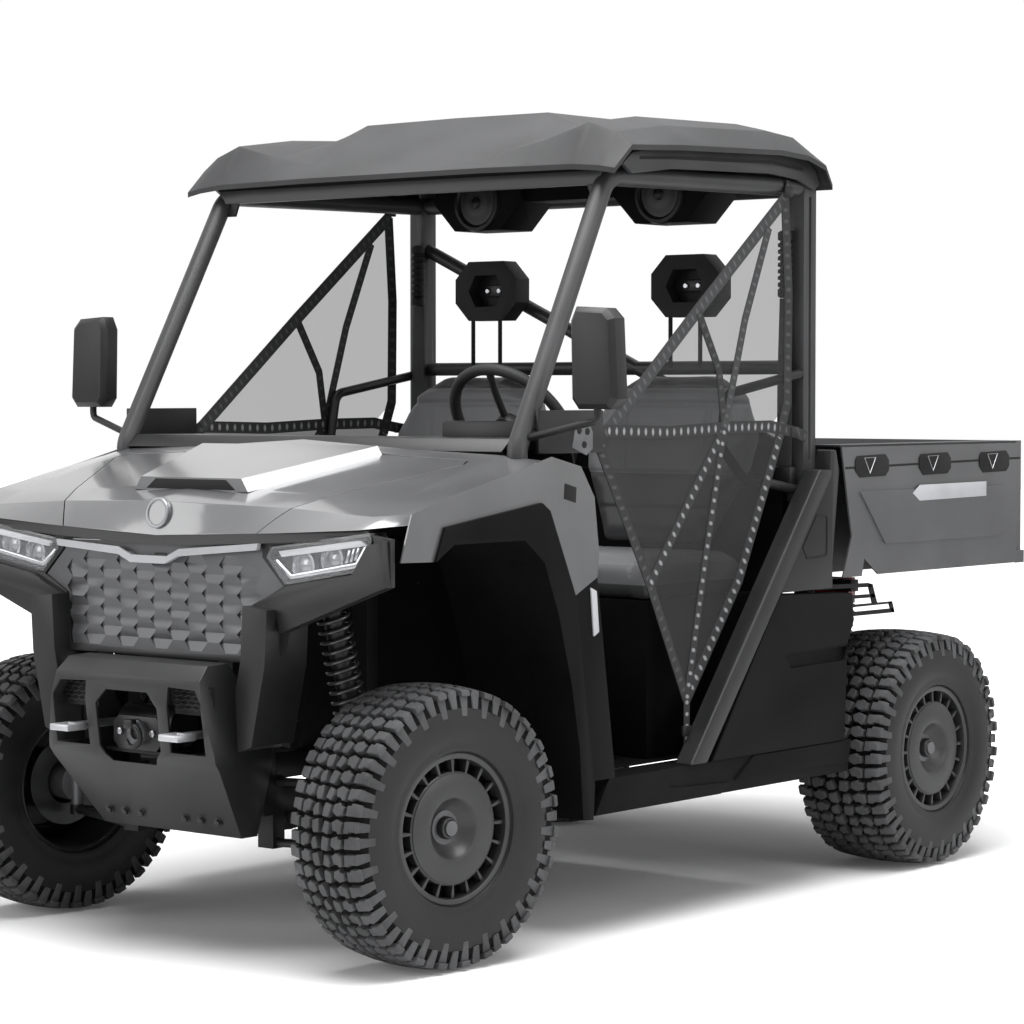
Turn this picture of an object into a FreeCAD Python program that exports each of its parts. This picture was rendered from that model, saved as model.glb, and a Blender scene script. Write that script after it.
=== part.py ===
import FreeCAD, Part
import math
import os
import Sketcher
from types import SimpleNamespace

# Side by side utility vehicle, in millimetres.
# +Z is up, the front faces -Y and +X is the vehicle's left side.  The origin lies on the
# ground in the middle of the outline.  A size that ends in _y is a distance behind the
# front axle, one that ends in _z a height over the ground and one that ends in _x a
# distance from the middle plane.

SIZES = [
    # Whole vehicle
    ("wheel_base", 2040),
    ("front_overhang", 400),
    ("rear_overhang", 527),
    ("body_half", 745),
    ("panel_wall", 4),
    ("panel_gap", 1.5),
    ("seat_gap", 0.3),
    ("cut_overrun", 20),
    # Wheels and tyres
    ("tyre_radius", 330),
    ("lug_depth", 11),
    ("front_tyre_half", 115),
    ("rear_tyre_half", 140),
    ("track_half", 643),
    ("rim_radius", 173),
    ("rim_flange", 13),
    ("rim_inset", 24),
    ("rim_plate", 6),
    ("rim_slot_low", 112),
    ("rim_slot_high", 156),
    ("rim_slot_half", 9),
    ("hub_radius", 46),
    ("hub_clearance", 0.05),
    ("spindle_radius", 17.5),
    ("kingpin_x", 556),
    ("kingpin_clearance", 0.05),
    ("steer_rest", 6.5),
    ("knuckle_post", 34),
    # Ladder frame and trusses
    ("frame_low_z", 330),
    ("frame_tube", 60),
    ("frame_half", 255),
    ("frame_rail", 50),
    ("frame_front_y", -150),
    ("frame_tail", 160),
    ("truss_tube", 40),
    ("front_truss_low_z", 880),
    ("front_truss_top_z", 1150),
    ("front_truss_rear_y", 255),
    ("rear_truss_front_y", 1560),
    ("rear_truss_top_z", 790),
    ("cross_height", 60),
    ("cross_low_z", 500),
    ("beam_half", 340),
    ("winch_tray_front_y", -312),
    ("winch_tray_z", 476),
    ("winch_tray_half", 112),
    # Cab floor, seat base and sills
    ("tub_inset", 107),
    ("toe_top_y", 384),
    ("toe_top_z", 1100),
    ("toe_foot_y", 500),
    ("cab_rear_y", 1462),
    ("cab_rear_z", 1120),
    ("seat_base_inset", 145),
    ("seat_base_front_y", 900),
    ("seat_base_rear_y", 1380),
    ("seat_base_z", 800),
    ("sill_inset", 100),
    ("sill_low_z", 304),
    ("sill_front_y", 497),
    ("sill_rear_clear", 395),
    ("sill_plate", 6),
    # Battery and drive blocks
    ("battery_half", 330),
    ("battery_front_y", 960),
    ("battery_rear_y", 1330),
    ("battery_z", 640),
    ("drive_half", 140),
    ("drive_front_reach", 140),
    ("drive_low_z", 284),
    ("drive_top_z", 520),
    ("diff_half", 85),
    ("diff_rear_y", 90),
    ("diff_top_z", 404),
    # Bonnet and front wings
    ("skin_front_y", -253),
    ("skin_rear_y", 300),
    ("skin_low_z", 993),
    ("skin_top_z", 1215),
    ("bonnet_front_half", 323),
    ("bonnet_ridge_half", 384),
    ("bonnet_rear_half", 610),
    ("bonnet_rear_y", 205),
    ("shut_gap", 4),
    ("hinge_gap", 8),
    ("bonnet_corner", 12),
    ("scoop_front_y", -137),
    ("scoop_front_half", 192),
    ("scoop_rear_half", 322),
    ("scoop_low_z", 1096),
    ("scoop_top_z", 1128),
    ("scoop_rear_low_z", 1170),
    ("scoop_rear_top_z", 1203),
    ("scoop_slope", 22),
    ("wing_front_y", -217),
    ("wing_rear_y", 512),
    ("wing_low_z", 842),
    ("wing_top_z", 1180),
    ("flare_front_y", -104),
    ("flare_rear_y", 486),
    ("flare_low_z", 297),
    ("flare_top_z", 1067),
    ("flare_proud", 8),
    ("flare_depth", 110),
    ("door_strip_front_y", 414),
    ("door_strip_rear_y", 577),
    ("door_strip_low_z", 390),
    ("door_strip_top_z", 881),
    ("liner_inner_x", 420),
    # Front panel, lamps and grille
    ("panel_front_y", -240),
    ("panel_depth", 14),
    ("panel_low_z", 702),
    ("panel_top_z", 1012),
    ("panel_inset", 10),
    ("arm_front_y", -292),
    ("arm_low_z", 500),
    ("arm_top_z", 840),
    ("arm_inner_x", 300),
    ("arm_outer_x", 401),
    ("arm_back_y", -150),
    ("branch_front_y", -262),
    ("branch_low_z", 779),
    ("branch_top_z", 1000),
    ("grille_low_z", 712),
    ("grille_top_z", 975),
    ("grille_half", 405),
    ("grille_depth", 10),
    ("cell_width", 78),
    ("cell_flat", 38),
    ("cell_height", 46),
    ("cell_depth", 7),
    ("lamp_inner_x", 352),
    ("lamp_outer_x", 684),
    ("lamp_low_z", 888),
    ("lamp_top_z", 1019),
    ("lamp_depth", 60),
    ("lamp_proud", 4),
    # Front bumper, winch and hooks
    ("bumper_front_y", -357),
    ("bumper_rear_y", -150),
    ("bumper_low_z", 281),
    ("bumper_top_z", 700),
    ("bumper_half", 282),
    ("bumper_wall", 8),
    ("bumper_top_half", 235),
    ("bumper_foot_half", 233),
    ("window_half", 104),
    ("window_low_z", 455),
    ("window_top_z", 628),
    ("mesh_inner_x", 137),
    ("mesh_outer_x", 252),
    ("mesh_low_z", 490),
    ("mesh_top_z", 645),
    ("winch_y", -250),
    ("winch_z", 540),
    ("winch_radius", 48),
    ("winch_half", 92),
    ("hook_x", 185),
    ("hook_half", 32),
    ("hook_tip_y", -399),
    ("hook_z", 532),
    ("hook_thick", 16),
    # Dash and steering
    ("dash_inset", 105),
    ("dash_front_y", 264),
    ("dash_rear_y", 565),
    ("dash_low_z", 1112),
    ("dash_top_z", 1222),
    ("wheel_ring_x", 370),
    ("wheel_ring_y", 640),
    ("wheel_ring_z", 1250),
    ("wheel_ring_radius", 172),
    ("wheel_grip_radius", 15),
    ("column_radius", 22),
    ("column_bore_gap", 0.05),
    ("column_tilt", 35),
    ("column_length", 150),
    # Roll cage
    ("cage_tube_radius", 25),
    ("cage_foot_inset", 75),
    ("cage_foot_y", 277),
    ("cage_foot_z", 1179),
    ("cage_sole_y", 525),
    ("cage_front_inset", 90),
    ("cage_front_y", 655),
    ("cage_front_z", 1868),
    ("cage_rear_inset", 73),
    ("cage_rear_y", 1498),
    ("cage_rear_z", 1880),
    ("pillar_wide", 50),
    ("pillar_deep", 58),
    ("pillar_foot_z", 1126),
    ("pillar_end_z", 1040),
    ("cage_knee_y", 470),
    ("cage_knee_z", 860),
    ("strut_front_y", 885),
    ("strut_low_z", 390),
    ("strut_depth", 48),
    ("header_height", 34),
    ("header_z", 1846),
    ("gusset_reach", 60),
    ("gusset_thick", 8),
    ("pillar_groove", 12),
    ("pillar_groove_deep", 6),
    ("bar_z", 1400),
    ("bar_radius", 19),
    ("brace_top_z", 1760),
    ("brace_low_z", 1150),
    # Roof
    ("roof_front_y", 585),
    ("roof_rear_y", 1545),
    ("roof_low_z", 1888),
    ("roof_top_z", 2062),
    ("roof_wall", 14),
    ("roof_foot_front_y", 720),
    ("roof_foot_rear_y", 1400),
    ("roof_foot", 26),
    # Speaker pods
    ("pod_x", 322),
    ("pod_half", 165),
    ("pod_front_y", 1330),
    ("pod_rear_y", 1473),
    ("pod_low_z", 1792),
    ("pod_top_z", 1985),
    ("pod_bridge_low_z", 1868),
    # Seats
    ("seat_x", 352),
    ("cushion_half", 280),
    ("cushion_front_y", 870),
    ("cushion_rear_y", 1345),
    ("cushion_thick", 105),
    ("back_half", 300),
    ("back_top_z", 1400),
    ("back_thick", 95),
    ("back_rake", 90),
    ("back_low_y", 1325),
    ("rest_half", 113),
    ("rest_low_z", 1538),
    ("rest_high_z", 1708),
    ("rest_thick", 60),
    ("rest_y", 1432),
    ("rest_hollow_half", 64),
    ("rest_hollow_low_z", 1578),
    ("rest_hollow_high_z", 1668),
    ("rest_back_wall", 14),
    ("rest_post_radius", 6),
    ("rest_post_x", 50),
    ("rest_post_y", 1407),
    # Side nets, belts and restraint bars
    ("net_inset", 48),
    ("net_thick", 4),
    ("net_front_y", 578),
    ("net_rear_y", 1388),
    ("net_low_z", 551),
    ("net_top_z", 1844),
    ("net_strap", 24),
    ("belt_inset", 95),
    ("belt_y", 1449),
    ("belt_low_z", 1585),
    ("belt_top_z", 1765),
    ("belt_radius", 20),
    ("restraint_inset", 61),
    ("restraint_front_y", 1130),
    ("restraint_low_z", 1068),
    ("restraint_top_z", 1385),
    ("restraint_radius", 13),
    # Mirrors and their brackets
    ("mirror_x", 863),
    ("mirror_y", 351),
    ("mirror_low_z", 1293),
    ("mirror_top_z", 1536),
    ("mirror_half", 70),
    ("mirror_deep", 50),
    ("mirror_bevel", 13),
    ("mirror_arm_radius", 9),
    ("bracket_low_z", 1186),
    ("bracket_top_z", 1290),
    ("bracket_thick", 12),
    # Rear body panels
    ("rear_low_front_y", 985),
    ("rear_low_clear", 390),
    ("rear_low_top_z", 802),
    ("rear_up_front_y", 1290),
    ("rear_up_rear_y", 1640),
    ("rear_up_low_z", 806),
    ("rear_up_top_z", 1178),
    ("rear_panel_depth", 60),
    ("rear_recess_deep", 14),
    # Bed
    ("bed_front_y", 1577),
    ("bed_rear_reach", 480),
    ("bed_floor_z", 846),
    ("bed_rail_z", 1191),
    ("bed_wall_inset", 93),
    ("bed_sheet", 6),
    ("bed_side_low_z", 832),
    ("tailgate_thick", 37),
    ("tailgate_clear", 10),
    ("tailgate_side_clear", 6),
    ("tailgate_pin_radius", 8),
    ("tailgate_pin_clearance", 0.05),
    ("tailgate_pin_length", 44),
    ("tailgate_hinge_z", 850),
    ("tailgate_chamfer", 8),
    ("bed_rib", 14),
    ("bed_hinge_reach", 135),
    ("bed_hinge_z", 812),
    ("bed_runner_z", 797),
    ("bed_pin_radius", 10),
    ("bed_pin_clearance", 0.05),
    ("bed_runner_tail", 16),
    ("bed_bracket", 8),
    ("bed_raised", 5),
    ("tie_down_low_z", 1104),
    ("tie_down_high_z", 1160),
    ("tie_down_half", 46),
    ("tie_down_deep", 4),
    # Rear fittings
    ("receiver_side", 64),
    ("receiver_bore", 51),
    ("receiver_length", 180),
    ("receiver_z", 360),
    ("receiver_pin_radius", 8.3),
    ("receiver_pin_back", 57),
    ("tail_lamp_half", 60),
    ("tail_lamp_low_z", 730),
    ("tail_lamp_height", 60),
    # Suspension
    ("arm_pivot_spread", 200),
    ("arm_low_z2", 262),
    ("arm_high_z", 408),
    ("arm_section", 26),
    ("shock_top_x", 400),
    ("shock_low_x", 425),
    ("shock_top_z", 880),
    ("shock_lean", 84),
    ("shock_rear_top_z", 755),
    ("shock_foot", 42),
    ("tower_height", 34),
    ("tower_half", 20),
    ("shock_radius", 40),
    ("shock_rod_radius", 12),
    ("axle_radius", 14),
    ("axle_drop", 30),
]

# Outlines as shares of the box that their named sizes give
WING_SHARES = [(0.052, 0.642), (0.746, 1.0), (0.901, 0.926), (0.974, 0.704), (1.0, 0.29),
               (0.99, 0.127), (0.863, 0.0), (0.726, 0.621), (0.684, 0.68), (0.2, 0.544),
               (0.155, 0.314), (0.0, 0.322)]
FLARE_SHARES = [(1.0, 0.109), (0.99, 0.0), (0.922, 0.004), (0.897, 0.238), (0.841, 0.445),
                (0.761, 0.653), (0.668, 0.822), (0.541, 0.894), (0.108, 0.894)]
DOOR_STRIP_SHARES = [(0.988, 0.038), (1.0, 0.0), (0.444, 0.0)]
REAR_LOWER_SHARES = [(0.0, 0.0), (0.459, 1.0), (0.988, 0.968), (1.0, 0.781), (0.953, 0.639),
                     (0.932, 0.0)]
REAR_UPPER_SHARES = [(0.01, 0.0), (0.69, 0.812), (0.69, 1.0), (0.766, 1.0), (0.809, 0.852),
                     (0.723, 0.202), (0.723, 0.0)]
BED_SIDE_SHARES = [(0.0, 1.0), (0.056, 0.311), (0.01, 0.0), (0.11, 0.0), (0.122, 0.134),
                   (0.199, 0.004), (1.0, 0.004), (1.0, 1.0)]
NET_SHARES = [(0.984, 1.0), (0.03, 0.531), (0.0, 0.492), (0.249, 0.233), (0.442, 0.0),
              (0.727, 0.227), (0.956, 0.513), (1.0, 0.583)]
LAMP_SHARES = [(0.042, 0.695), (0.976, 1.0), (1.0, 0.832), (0.867, 0.282), (0.253, 0.031),
               (0.181, 0.0), (0.0, 0.473)]
GRILLE_SHARES = [(0.0, 1.0), (0.83, 1.0), (0.835, 0.907), (1.0, 0.663), (0.805, 0.507),
                 (0.77, 0.026), (0.0, 0.0)]
PANEL_SHARES = [(0.0, 0.925), (0.44, 0.96), (0.92, 1.0), (1.0, 0.975), (1.0, 0.63),
                (0.56, 0.25), (0.53, 0.0), (0.0, 0.0)]
ARM_SHARES = [(0.24, 1.0), (1.0, 0.98), (0.92, 0.59), (0.5, 0.04), (0.08, 0.0), (0.0, 0.41),
              (0.16, 0.62)]
BRANCH_SHARES = [(0.0, 0.28), (0.27, 0.49), (0.755, 0.635), (0.87, 0.95), (0.98, 1.0),
                 (1.0, 0.53), (0.215, 0.0), (0.18, 0.24)]
BUMPER_SHARES = [(0.517, 1.0), (0.188, 0.993), (0.024, 0.914), (0.0, 0.761), (0.082, 0.458),
                 (0.739, 0.0), (1.0, 0.0), (1.0, 0.66)]
WINDOW_SHARES = [(0.0, 0.798), (0.163, 1.0), (0.837, 1.0), (1.0, 0.798), (1.0, 0.202),
                 (0.856, 0.0), (0.144, 0.0), (0.0, 0.202)]
MESH_SHARES = [(0.017, 1.0), (0.791, 0.981), (0.983, 0.774), (1.0, 0.0), (0.0, 0.0)]
BED_RAISED_SHARES = [(0.1, 0.64), (0.235, 0.24), (0.9, 0.24), (0.925, 0.3), (0.925, 0.64)]
TIE_DOWN_SHARES = (0.16, 0.5, 0.84)
REAR_RECESS_SHARES = [(0.545, 0.52), (0.5, 0.61), (0.945, 0.62), (0.93, 0.53)]
SILL_PLATE_SHARES = [(0.518, 0.32), (0.59, 0.98), (0.965, 0.98), (0.985, 0.3)]
SILL_STEP_SHARES = [(0.0, 0.0), (0.05, 1.0), (0.23, 1.0), (0.27, 0.42), (0.5, 0.3), (0.46, 0.0)]
MIRROR_SHARES = [(0.0, 0.86), (0.12, 1.0), (0.75, 0.98), (0.93, 0.88), (1.0, 0.1), (0.85, 0.0),
                 (0.17, 0.0), (0.03, 0.1)]
HOLLOW_SHARES = [(0.0, 0.5), (0.2, 0.0), (0.8, 0.0), (1.0, 0.5), (0.8, 1.0), (0.2, 1.0)]
BUMPER_TOP_SHARES = [(0.0, 1.0), (1.0, 0.0), (1.0, 1.0)]
BUMPER_FOOT_SHARES = [(0.0, 0.0), (1.0, 0.0), (1.0, 1.0)]
GUSSET_SHARES = [(0.0, 1.0), (0.35, 0.0), (1.0, 0.0), (1.0, 1.0)]
DASH_SHARES = [(0.0, 0.72), (0.125, 1.0), (0.686, 1.0), (0.917, 0.72), (1.0, 0.0)]
SEAT_BACK_SHARES = [(0.718, 1.0), (0.892, 0.89), (1.0, 0.63), (0.975, 0.44), (0.858, 0.16),
                    (0.8, 0.0), (0.2, 0.0), (0.142, 0.16), (0.025, 0.44), (0.0, 0.63),
                    (0.108, 0.89), (0.282, 1.0)]
OCTAGON_SHARES = [(0.0, 0.3), (0.22, 0.0), (0.78, 0.0), (1.0, 0.3), (1.0, 0.7), (0.78, 1.0),
                  (0.22, 1.0), (0.0, 0.7)]
POD_SHARES = [(0.0, 0.42), (0.24, 0.0), (0.76, 0.0), (1.0, 0.42), (0.92, 1.0), (0.08, 1.0)]
SILL_SHARES = [(0.0, 0.0), (0.05, 1.0), (1.0, 1.0), (0.985, 0.0)]
STRUT_SHARES = [(0.0, 0.0), (0.911, 1.0), (1.0, 1.0), (1.0, 0.97), (0.11, 0.0)]

# Cross-sections of the front skin: share of the half width, then (y, z) shares of lip,
# ridge, shoulder and rear edge
SKIN_SECTION_SHARES = [
    (0.0, [(0.0, 0.0), (0.027, 0.369), (0.211, 0.49), (0.93, 1.0)]),
    (0.515, [(0.008, 0.068), (0.112, 0.324), (0.26, 0.46), (0.93, 0.9)]),
    (0.85, [(0.02, 0.13), (0.118, 0.26), (0.28, 0.41), (0.932, 0.86)]),
    (1.0, [(0.13, 0.19), (0.134, 0.297), (0.3, 0.42), (1.0, 0.8)]),
]
# Cross-sections of the roof: y share, then (x, z) shares from the middle to the lip
ROOF_SECTION_SHARES = [
    (0.0, [(0.0, 0.06), (0.42, 0.06), (0.6, 0.05), (0.81, 0.04), (0.92, 0.0), (0.985, -0.05)]),
    (0.07, [(0.0, 0.26), (0.42, 0.28), (0.62, 0.44), (0.81, 0.66), (0.92, 0.5), (0.99, 0.3)]),
    (0.28, [(0.0, 0.985), (0.42, 0.97), (0.56, 0.76), (0.8, 0.82), (0.92, 0.66), (1.0, 0.36)]),
    (0.74, [(0.0, 1.0), (0.42, 0.98), (0.56, 0.84), (0.8, 0.88), (0.93, 0.74), (1.0, 0.44)]),
    (0.87, [(0.0, 0.94), (0.42, 0.93), (0.56, 0.82), (0.8, 0.84), (0.93, 0.69), (1.0, 0.4)]),
    (0.955, [(0.0, 0.62), (0.42, 0.62), (0.56, 0.58), (0.8, 0.58), (0.93, 0.5), (1.0, 0.28)]),
    (1.0, [(0.0, 0.0), (0.42, 0.0), (0.56, 0.0), (0.8, 0.0), (0.93, 0.0), (0.99, 0.0)]),
]

ROOF_FOOT_SHARES = (0.56, 0.7)
RIDGE_SHARE = 0.112
CORNER_SHARE = 0.93
CELL_COLUMNS = 5
CELL_ROWS = 2
RIM_SLOTS = 20

doc = FreeCAD.newDocument("side_by_side_utility_vehicle")


class Size:
    """A length in millimetres together with its formula in the sheet's own words."""

    def __init__(self, value, text):
        self.value = float(value)
        self.text = text

    def __float__(self):
        return self.value

    def __neg__(self):
        return Size(-self.value, "(-1 * " + self.text + ")")

    def __add__(self, other):
        other = as_size(other)
        return Size(self.value + other.value, "(" + self.text + " + " + other.text + ")")

    def __sub__(self, other):
        other = as_size(other)
        return Size(self.value - other.value, "(" + self.text + " - " + other.text + ")")

    def __mul__(self, other):
        other = as_size(other)
        return Size(self.value * other.value, "(" + self.text + " * " + other.text + ")")

    def __truediv__(self, other):
        other = as_size(other)
        return Size(self.value / other.value, "(" + self.text + " / " + other.text + ")")


def as_size(value):
    """Take a plain number, such as a share, into a formula."""
    if isinstance(value, Size):
        return value
    return Size(value, repr(float(value)))


def fill_sheet():
    """Write every driving size into the sheet and hand back the sizes by name."""
    sheet = doc.addObject("Spreadsheet::Sheet", "sizes")
    for row, (name, value) in enumerate(SIZES, 1):
        sheet.set("A" + str(row), name)
        sheet.set("B" + str(row), str(value))
        sheet.setAlias("B" + str(row), name)
    doc.recompute()
    return SimpleNamespace(**{name: Size(sheet.get(name), "sizes." + name) for name, _ in SIZES})


s = fill_sheet()
ZERO = as_size(0)
HALF = 0.5
BOTH_SIDES = (1, -1)
overall = s.front_overhang + s.wheel_base + s.rear_overhang
front_axle = s.front_overhang - overall * HALF
frame_top = s.frame_low_z + s.frame_tube
s.frame_rear_y = s.wheel_base + s.frame_tail
s.drive_front_y = s.wheel_base - s.drive_front_reach
s.bed_rear_y = s.wheel_base + s.bed_rear_reach
s.bed_hinge_y = s.wheel_base + s.bed_hinge_reach
s.receiver_rear_y = s.frame_rear_y + s.receiver_length
s.rear_low_rear_y = s.wheel_base - s.rear_low_clear
s.sill_rear_y = s.wheel_base - s.sill_rear_clear
s.tub_half = s.body_half - s.tub_inset
s.sill_inner_x = s.body_half - s.sill_inset
s.seat_base_half = s.body_half - s.seat_base_inset
s.dash_half = s.body_half - s.dash_inset
s.panel_half = s.body_half - s.panel_inset
s.cage_foot_x = s.body_half - s.cage_foot_inset
s.cage_front_x = s.body_half - s.cage_front_inset
s.cage_rear_x = s.body_half - s.cage_rear_inset
s.strut_inner_x = s.body_half - s.strut_depth
s.roof_half = s.body_half
s.net_x = s.body_half - s.net_inset
s.belt_x = s.body_half - s.belt_inset
s.restraint_x = s.body_half - s.restraint_inset
s.bed_inner_half = s.body_half - s.bed_wall_inset


def behind(distance):
    """The Y place of a distance behind the front axle."""
    return front_axle + distance


def between(low, high, share):
    """A place a share of the way from low to high."""
    return low + (high - low) * share


def outline(shares, low_u, high_u, low_v, high_v):
    """The points of a share table, set into its box."""
    return [(between(low_u, high_u, u), between(low_v, high_v, v)) for u, v in shares]


def rectangle(low_u, high_u, low_v, high_v):
    """The four corners of an upright rectangle."""
    return [(low_u, low_v), (high_u, low_v), (high_u, high_v), (low_u, high_v)]


def new_body(label):
    """An empty body whose label names the sub-part."""
    body = doc.addObject("PartDesign::Body", label)
    body.Label = label
    return body


def add_sketch(body, role, points, place=ZERO):
    """A closed outline on one of the body's own planes, every corner bound to the sheet."""
    sketch = body.newObject("Sketcher::SketchObject", body.Name + "_sketch")
    plane = next(item for item in body.Origin.OriginFeatures if item.Role == role)
    sketch.AttachmentSupport = [(plane, "")]
    sketch.MapMode = "FlatFace"
    corners = [FreeCAD.Vector(float(u), float(v), 0) for u, v in points]
    count = len(corners)
    edges = [Part.LineSegment(corners[i], corners[(i + 1) % count]) for i in range(count)]
    sketch.addGeometry(edges, False)
    joins = [Sketcher.Constraint("Coincident", i, 2, (i + 1) % count, 1) for i in range(count)]
    places = []
    for i, corner in enumerate(corners):
        places.append(Sketcher.Constraint("DistanceX", i, 1, corner.x))
        places.append(Sketcher.Constraint("DistanceY", i, 1, corner.y))
    sketch.addConstraint(joins + places)
    for i, (u, v) in enumerate(points):
        sketch.setExpression("Constraints[%d]" % (count + 2 * i), u.text)
        sketch.setExpression("Constraints[%d]" % (count + 2 * i + 1), v.text)
    sketch.setExpression("AttachmentOffset.Base.z", place.text)
    return sketch


def add_circle(body, role, centre, radius, place=ZERO):
    """A circle on one of the body's own planes, bound to the sheet."""
    sketch = body.newObject("Sketcher::SketchObject", body.Name + "_circle")
    plane = next(item for item in body.Origin.OriginFeatures if item.Role == role)
    sketch.AttachmentSupport = [(plane, "")]
    sketch.MapMode = "FlatFace"
    middle = FreeCAD.Vector(float(centre[0]), float(centre[1]), 0)
    sketch.addGeometry(Part.Circle(middle, FreeCAD.Vector(0, 0, 1), float(radius)), False)
    sketch.addConstraint([Sketcher.Constraint("DistanceX", 0, 3, middle.x),
                          Sketcher.Constraint("DistanceY", 0, 3, middle.y),
                          Sketcher.Constraint("Radius", 0, float(radius))])
    sketch.setExpression("Constraints[0]", centre[0].text)
    sketch.setExpression("Constraints[1]", centre[1].text)
    sketch.setExpression("Constraints[2]", radius.text)
    sketch.setExpression("AttachmentOffset.Base.z", place.text)
    return sketch


def add_feature(body, kind, sketch, length, symmetric=False):
    """A pad or a pocket of one sketch."""
    feature = body.newObject("PartDesign::" + kind, body.Name + "_" + kind.lower())
    feature.Profile = sketch
    feature.setExpression("Length", length.text)
    if symmetric:
        feature.SideType = "Symmetric"
    return feature


def side_pad(body, points, inner_x, outer_x):
    """Pad a side view outline (Y, Z) from one X place to another."""
    return add_feature(body, "Pad", add_sketch(body, "YZ_Plane", points, inner_x), outer_x - inner_x)


def side_pocket(body, points, inner_x, outer_x):
    """Cut a side view outline (Y, Z) between two X places."""
    return add_feature(body, "Pocket", add_sketch(body, "YZ_Plane", points, outer_x), outer_x - inner_x)


def wide_pad(body, points, half_width):
    """Pad a side view outline the same way to both sides of the middle plane."""
    return add_feature(body, "Pad", add_sketch(body, "YZ_Plane", points), half_width * 2, True)


def wide_pocket(body, points, half_width):
    """Cut a side view outline the same way to both sides of the middle plane."""
    return add_feature(body, "Pocket", add_sketch(body, "YZ_Plane", points), half_width * 2, True)


def front_pad(body, points, front_y, rear_y):
    """Pad a front view outline (X, Z) forwards from rear_y to front_y."""
    return add_feature(body, "Pad", add_sketch(body, "XZ_Plane", points, -rear_y), rear_y - front_y)


def front_pocket(body, points, front_y, rear_y):
    """Cut a front view outline (X, Z) between two Y places."""
    return add_feature(body, "Pocket", add_sketch(body, "XZ_Plane", points, -front_y), rear_y - front_y)


def top_pad(body, points, low_z, high_z):
    """Pad a plan outline (X, Y) from low_z up to high_z."""
    return add_feature(body, "Pad", add_sketch(body, "XY_Plane", points, low_z), high_z - low_z)


def top_pocket(body, points, low_z, high_z):
    """Cut a plan outline (X, Y) between two heights."""
    return add_feature(body, "Pocket", add_sketch(body, "XY_Plane", points, high_z), high_z - low_z)


def strip(points, wall):
    """A bent sheet: the line through the points and its parallel, one wall to its left."""
    flat = [FreeCAD.Vector(float(u), float(v), 0) for u, v in points]
    runs = [(b - a).normalize() for a, b in zip(flat, flat[1:])]
    normals = [FreeCAD.Vector(-run.y, run.x, 0) for run in runs]
    joins = [normals[0]] + [a + b for a, b in zip(normals, normals[1:])] + [normals[-1]]
    steps = [join * (2 / join.dot(join)) if 0 < i < len(flat) - 1 else join for i, join in enumerate(joins)]
    inner = [(u + wall * step.x, v + wall * step.y) for (u, v), step in zip(points, steps)]
    return points + inner[::-1]


def mirrored(points):
    """The same outline on the other side of the middle plane."""
    return [(-u, v) for u, v in reversed(points)]


def whole(points):
    """A half outline that starts and ends on the middle plane, made whole."""
    other_side = [(-u, v) for u, v in reversed(points) if abs(float(u)) > 0]
    return points + other_side


def pair(label, source):
    """A left piece and its mirror image as one sub-part of solids that don't touch."""
    other = doc.addObject("Part::Mirroring", label + "_right")
    other.Source = source
    other.Normal = FreeCAD.Vector(1, 0, 0)
    both = doc.addObject("Part::Compound", label)
    both.Label = label
    both.Links = [source, other]
    return both


def feature(label, shape):
    """A sub-part whose shape is worked out here from the sheet's sizes."""
    item = doc.addObject("Part::Feature", label)
    item.Label = label
    item.Shape = shape
    return item


def vector(x, y, z):
    """A point from sizes or numbers."""
    return FreeCAD.Vector(float(x), float(y), float(z))


def tube(start, end, radius):
    """A straight round bar between two points."""
    run = end - start
    return Part.makeCylinder(float(radius), run.Length, start, run)


def block(low_x, high_x, low_y, high_y, low_z, high_z):
    """A box between two corners."""
    size = vector(high_x - low_x, high_y - low_y, high_z - low_z)
    return Part.makeBox(size.x, size.y, size.z, vector(low_x, low_y, low_z))


def bent_tube(points, bend_radius, radius):
    """A bent round tube: straight runs joined by arcs that touch them."""
    edges = []
    start = points[0]
    for corner, after in zip(points[1:-1], points[2:]):
        before = (start - corner).normalize()
        onward = (after - corner).normalize()
        turn = math.pi - before.getAngle(onward)
        cut_back = float(bend_radius) * math.tan(turn * HALF)
        into = corner + before * cut_back
        out = corner + onward * cut_back
        middle = (before + onward).normalize()
        centre = corner + middle * (float(bend_radius) / math.cos(turn * HALF))
        crest = centre - middle * float(bend_radius)
        edges.append(Part.LineSegment(start, into).toShape())
        edges.append(Part.Arc(into, crest, out).toShape())
        start = out
    edges.append(Part.LineSegment(start, points[-1]).toShape())
    path = Part.Wire(edges)
    ring = Part.Wire(Part.makeCircle(float(radius), points[0], points[1] - points[0]))
    return path.makePipeShell([ring], True, False)


def mirror_shape(shape):
    """The mirror image of a shape across the middle plane."""
    return shape.mirror(FreeCAD.Vector(0, 0, 0), FreeCAD.Vector(1, 0, 0))


def both_sides(shapes):
    """Left shapes and their mirror images in one compound."""
    return Part.makeCompound(shapes + [mirror_shape(shape) for shape in shapes])


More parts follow.
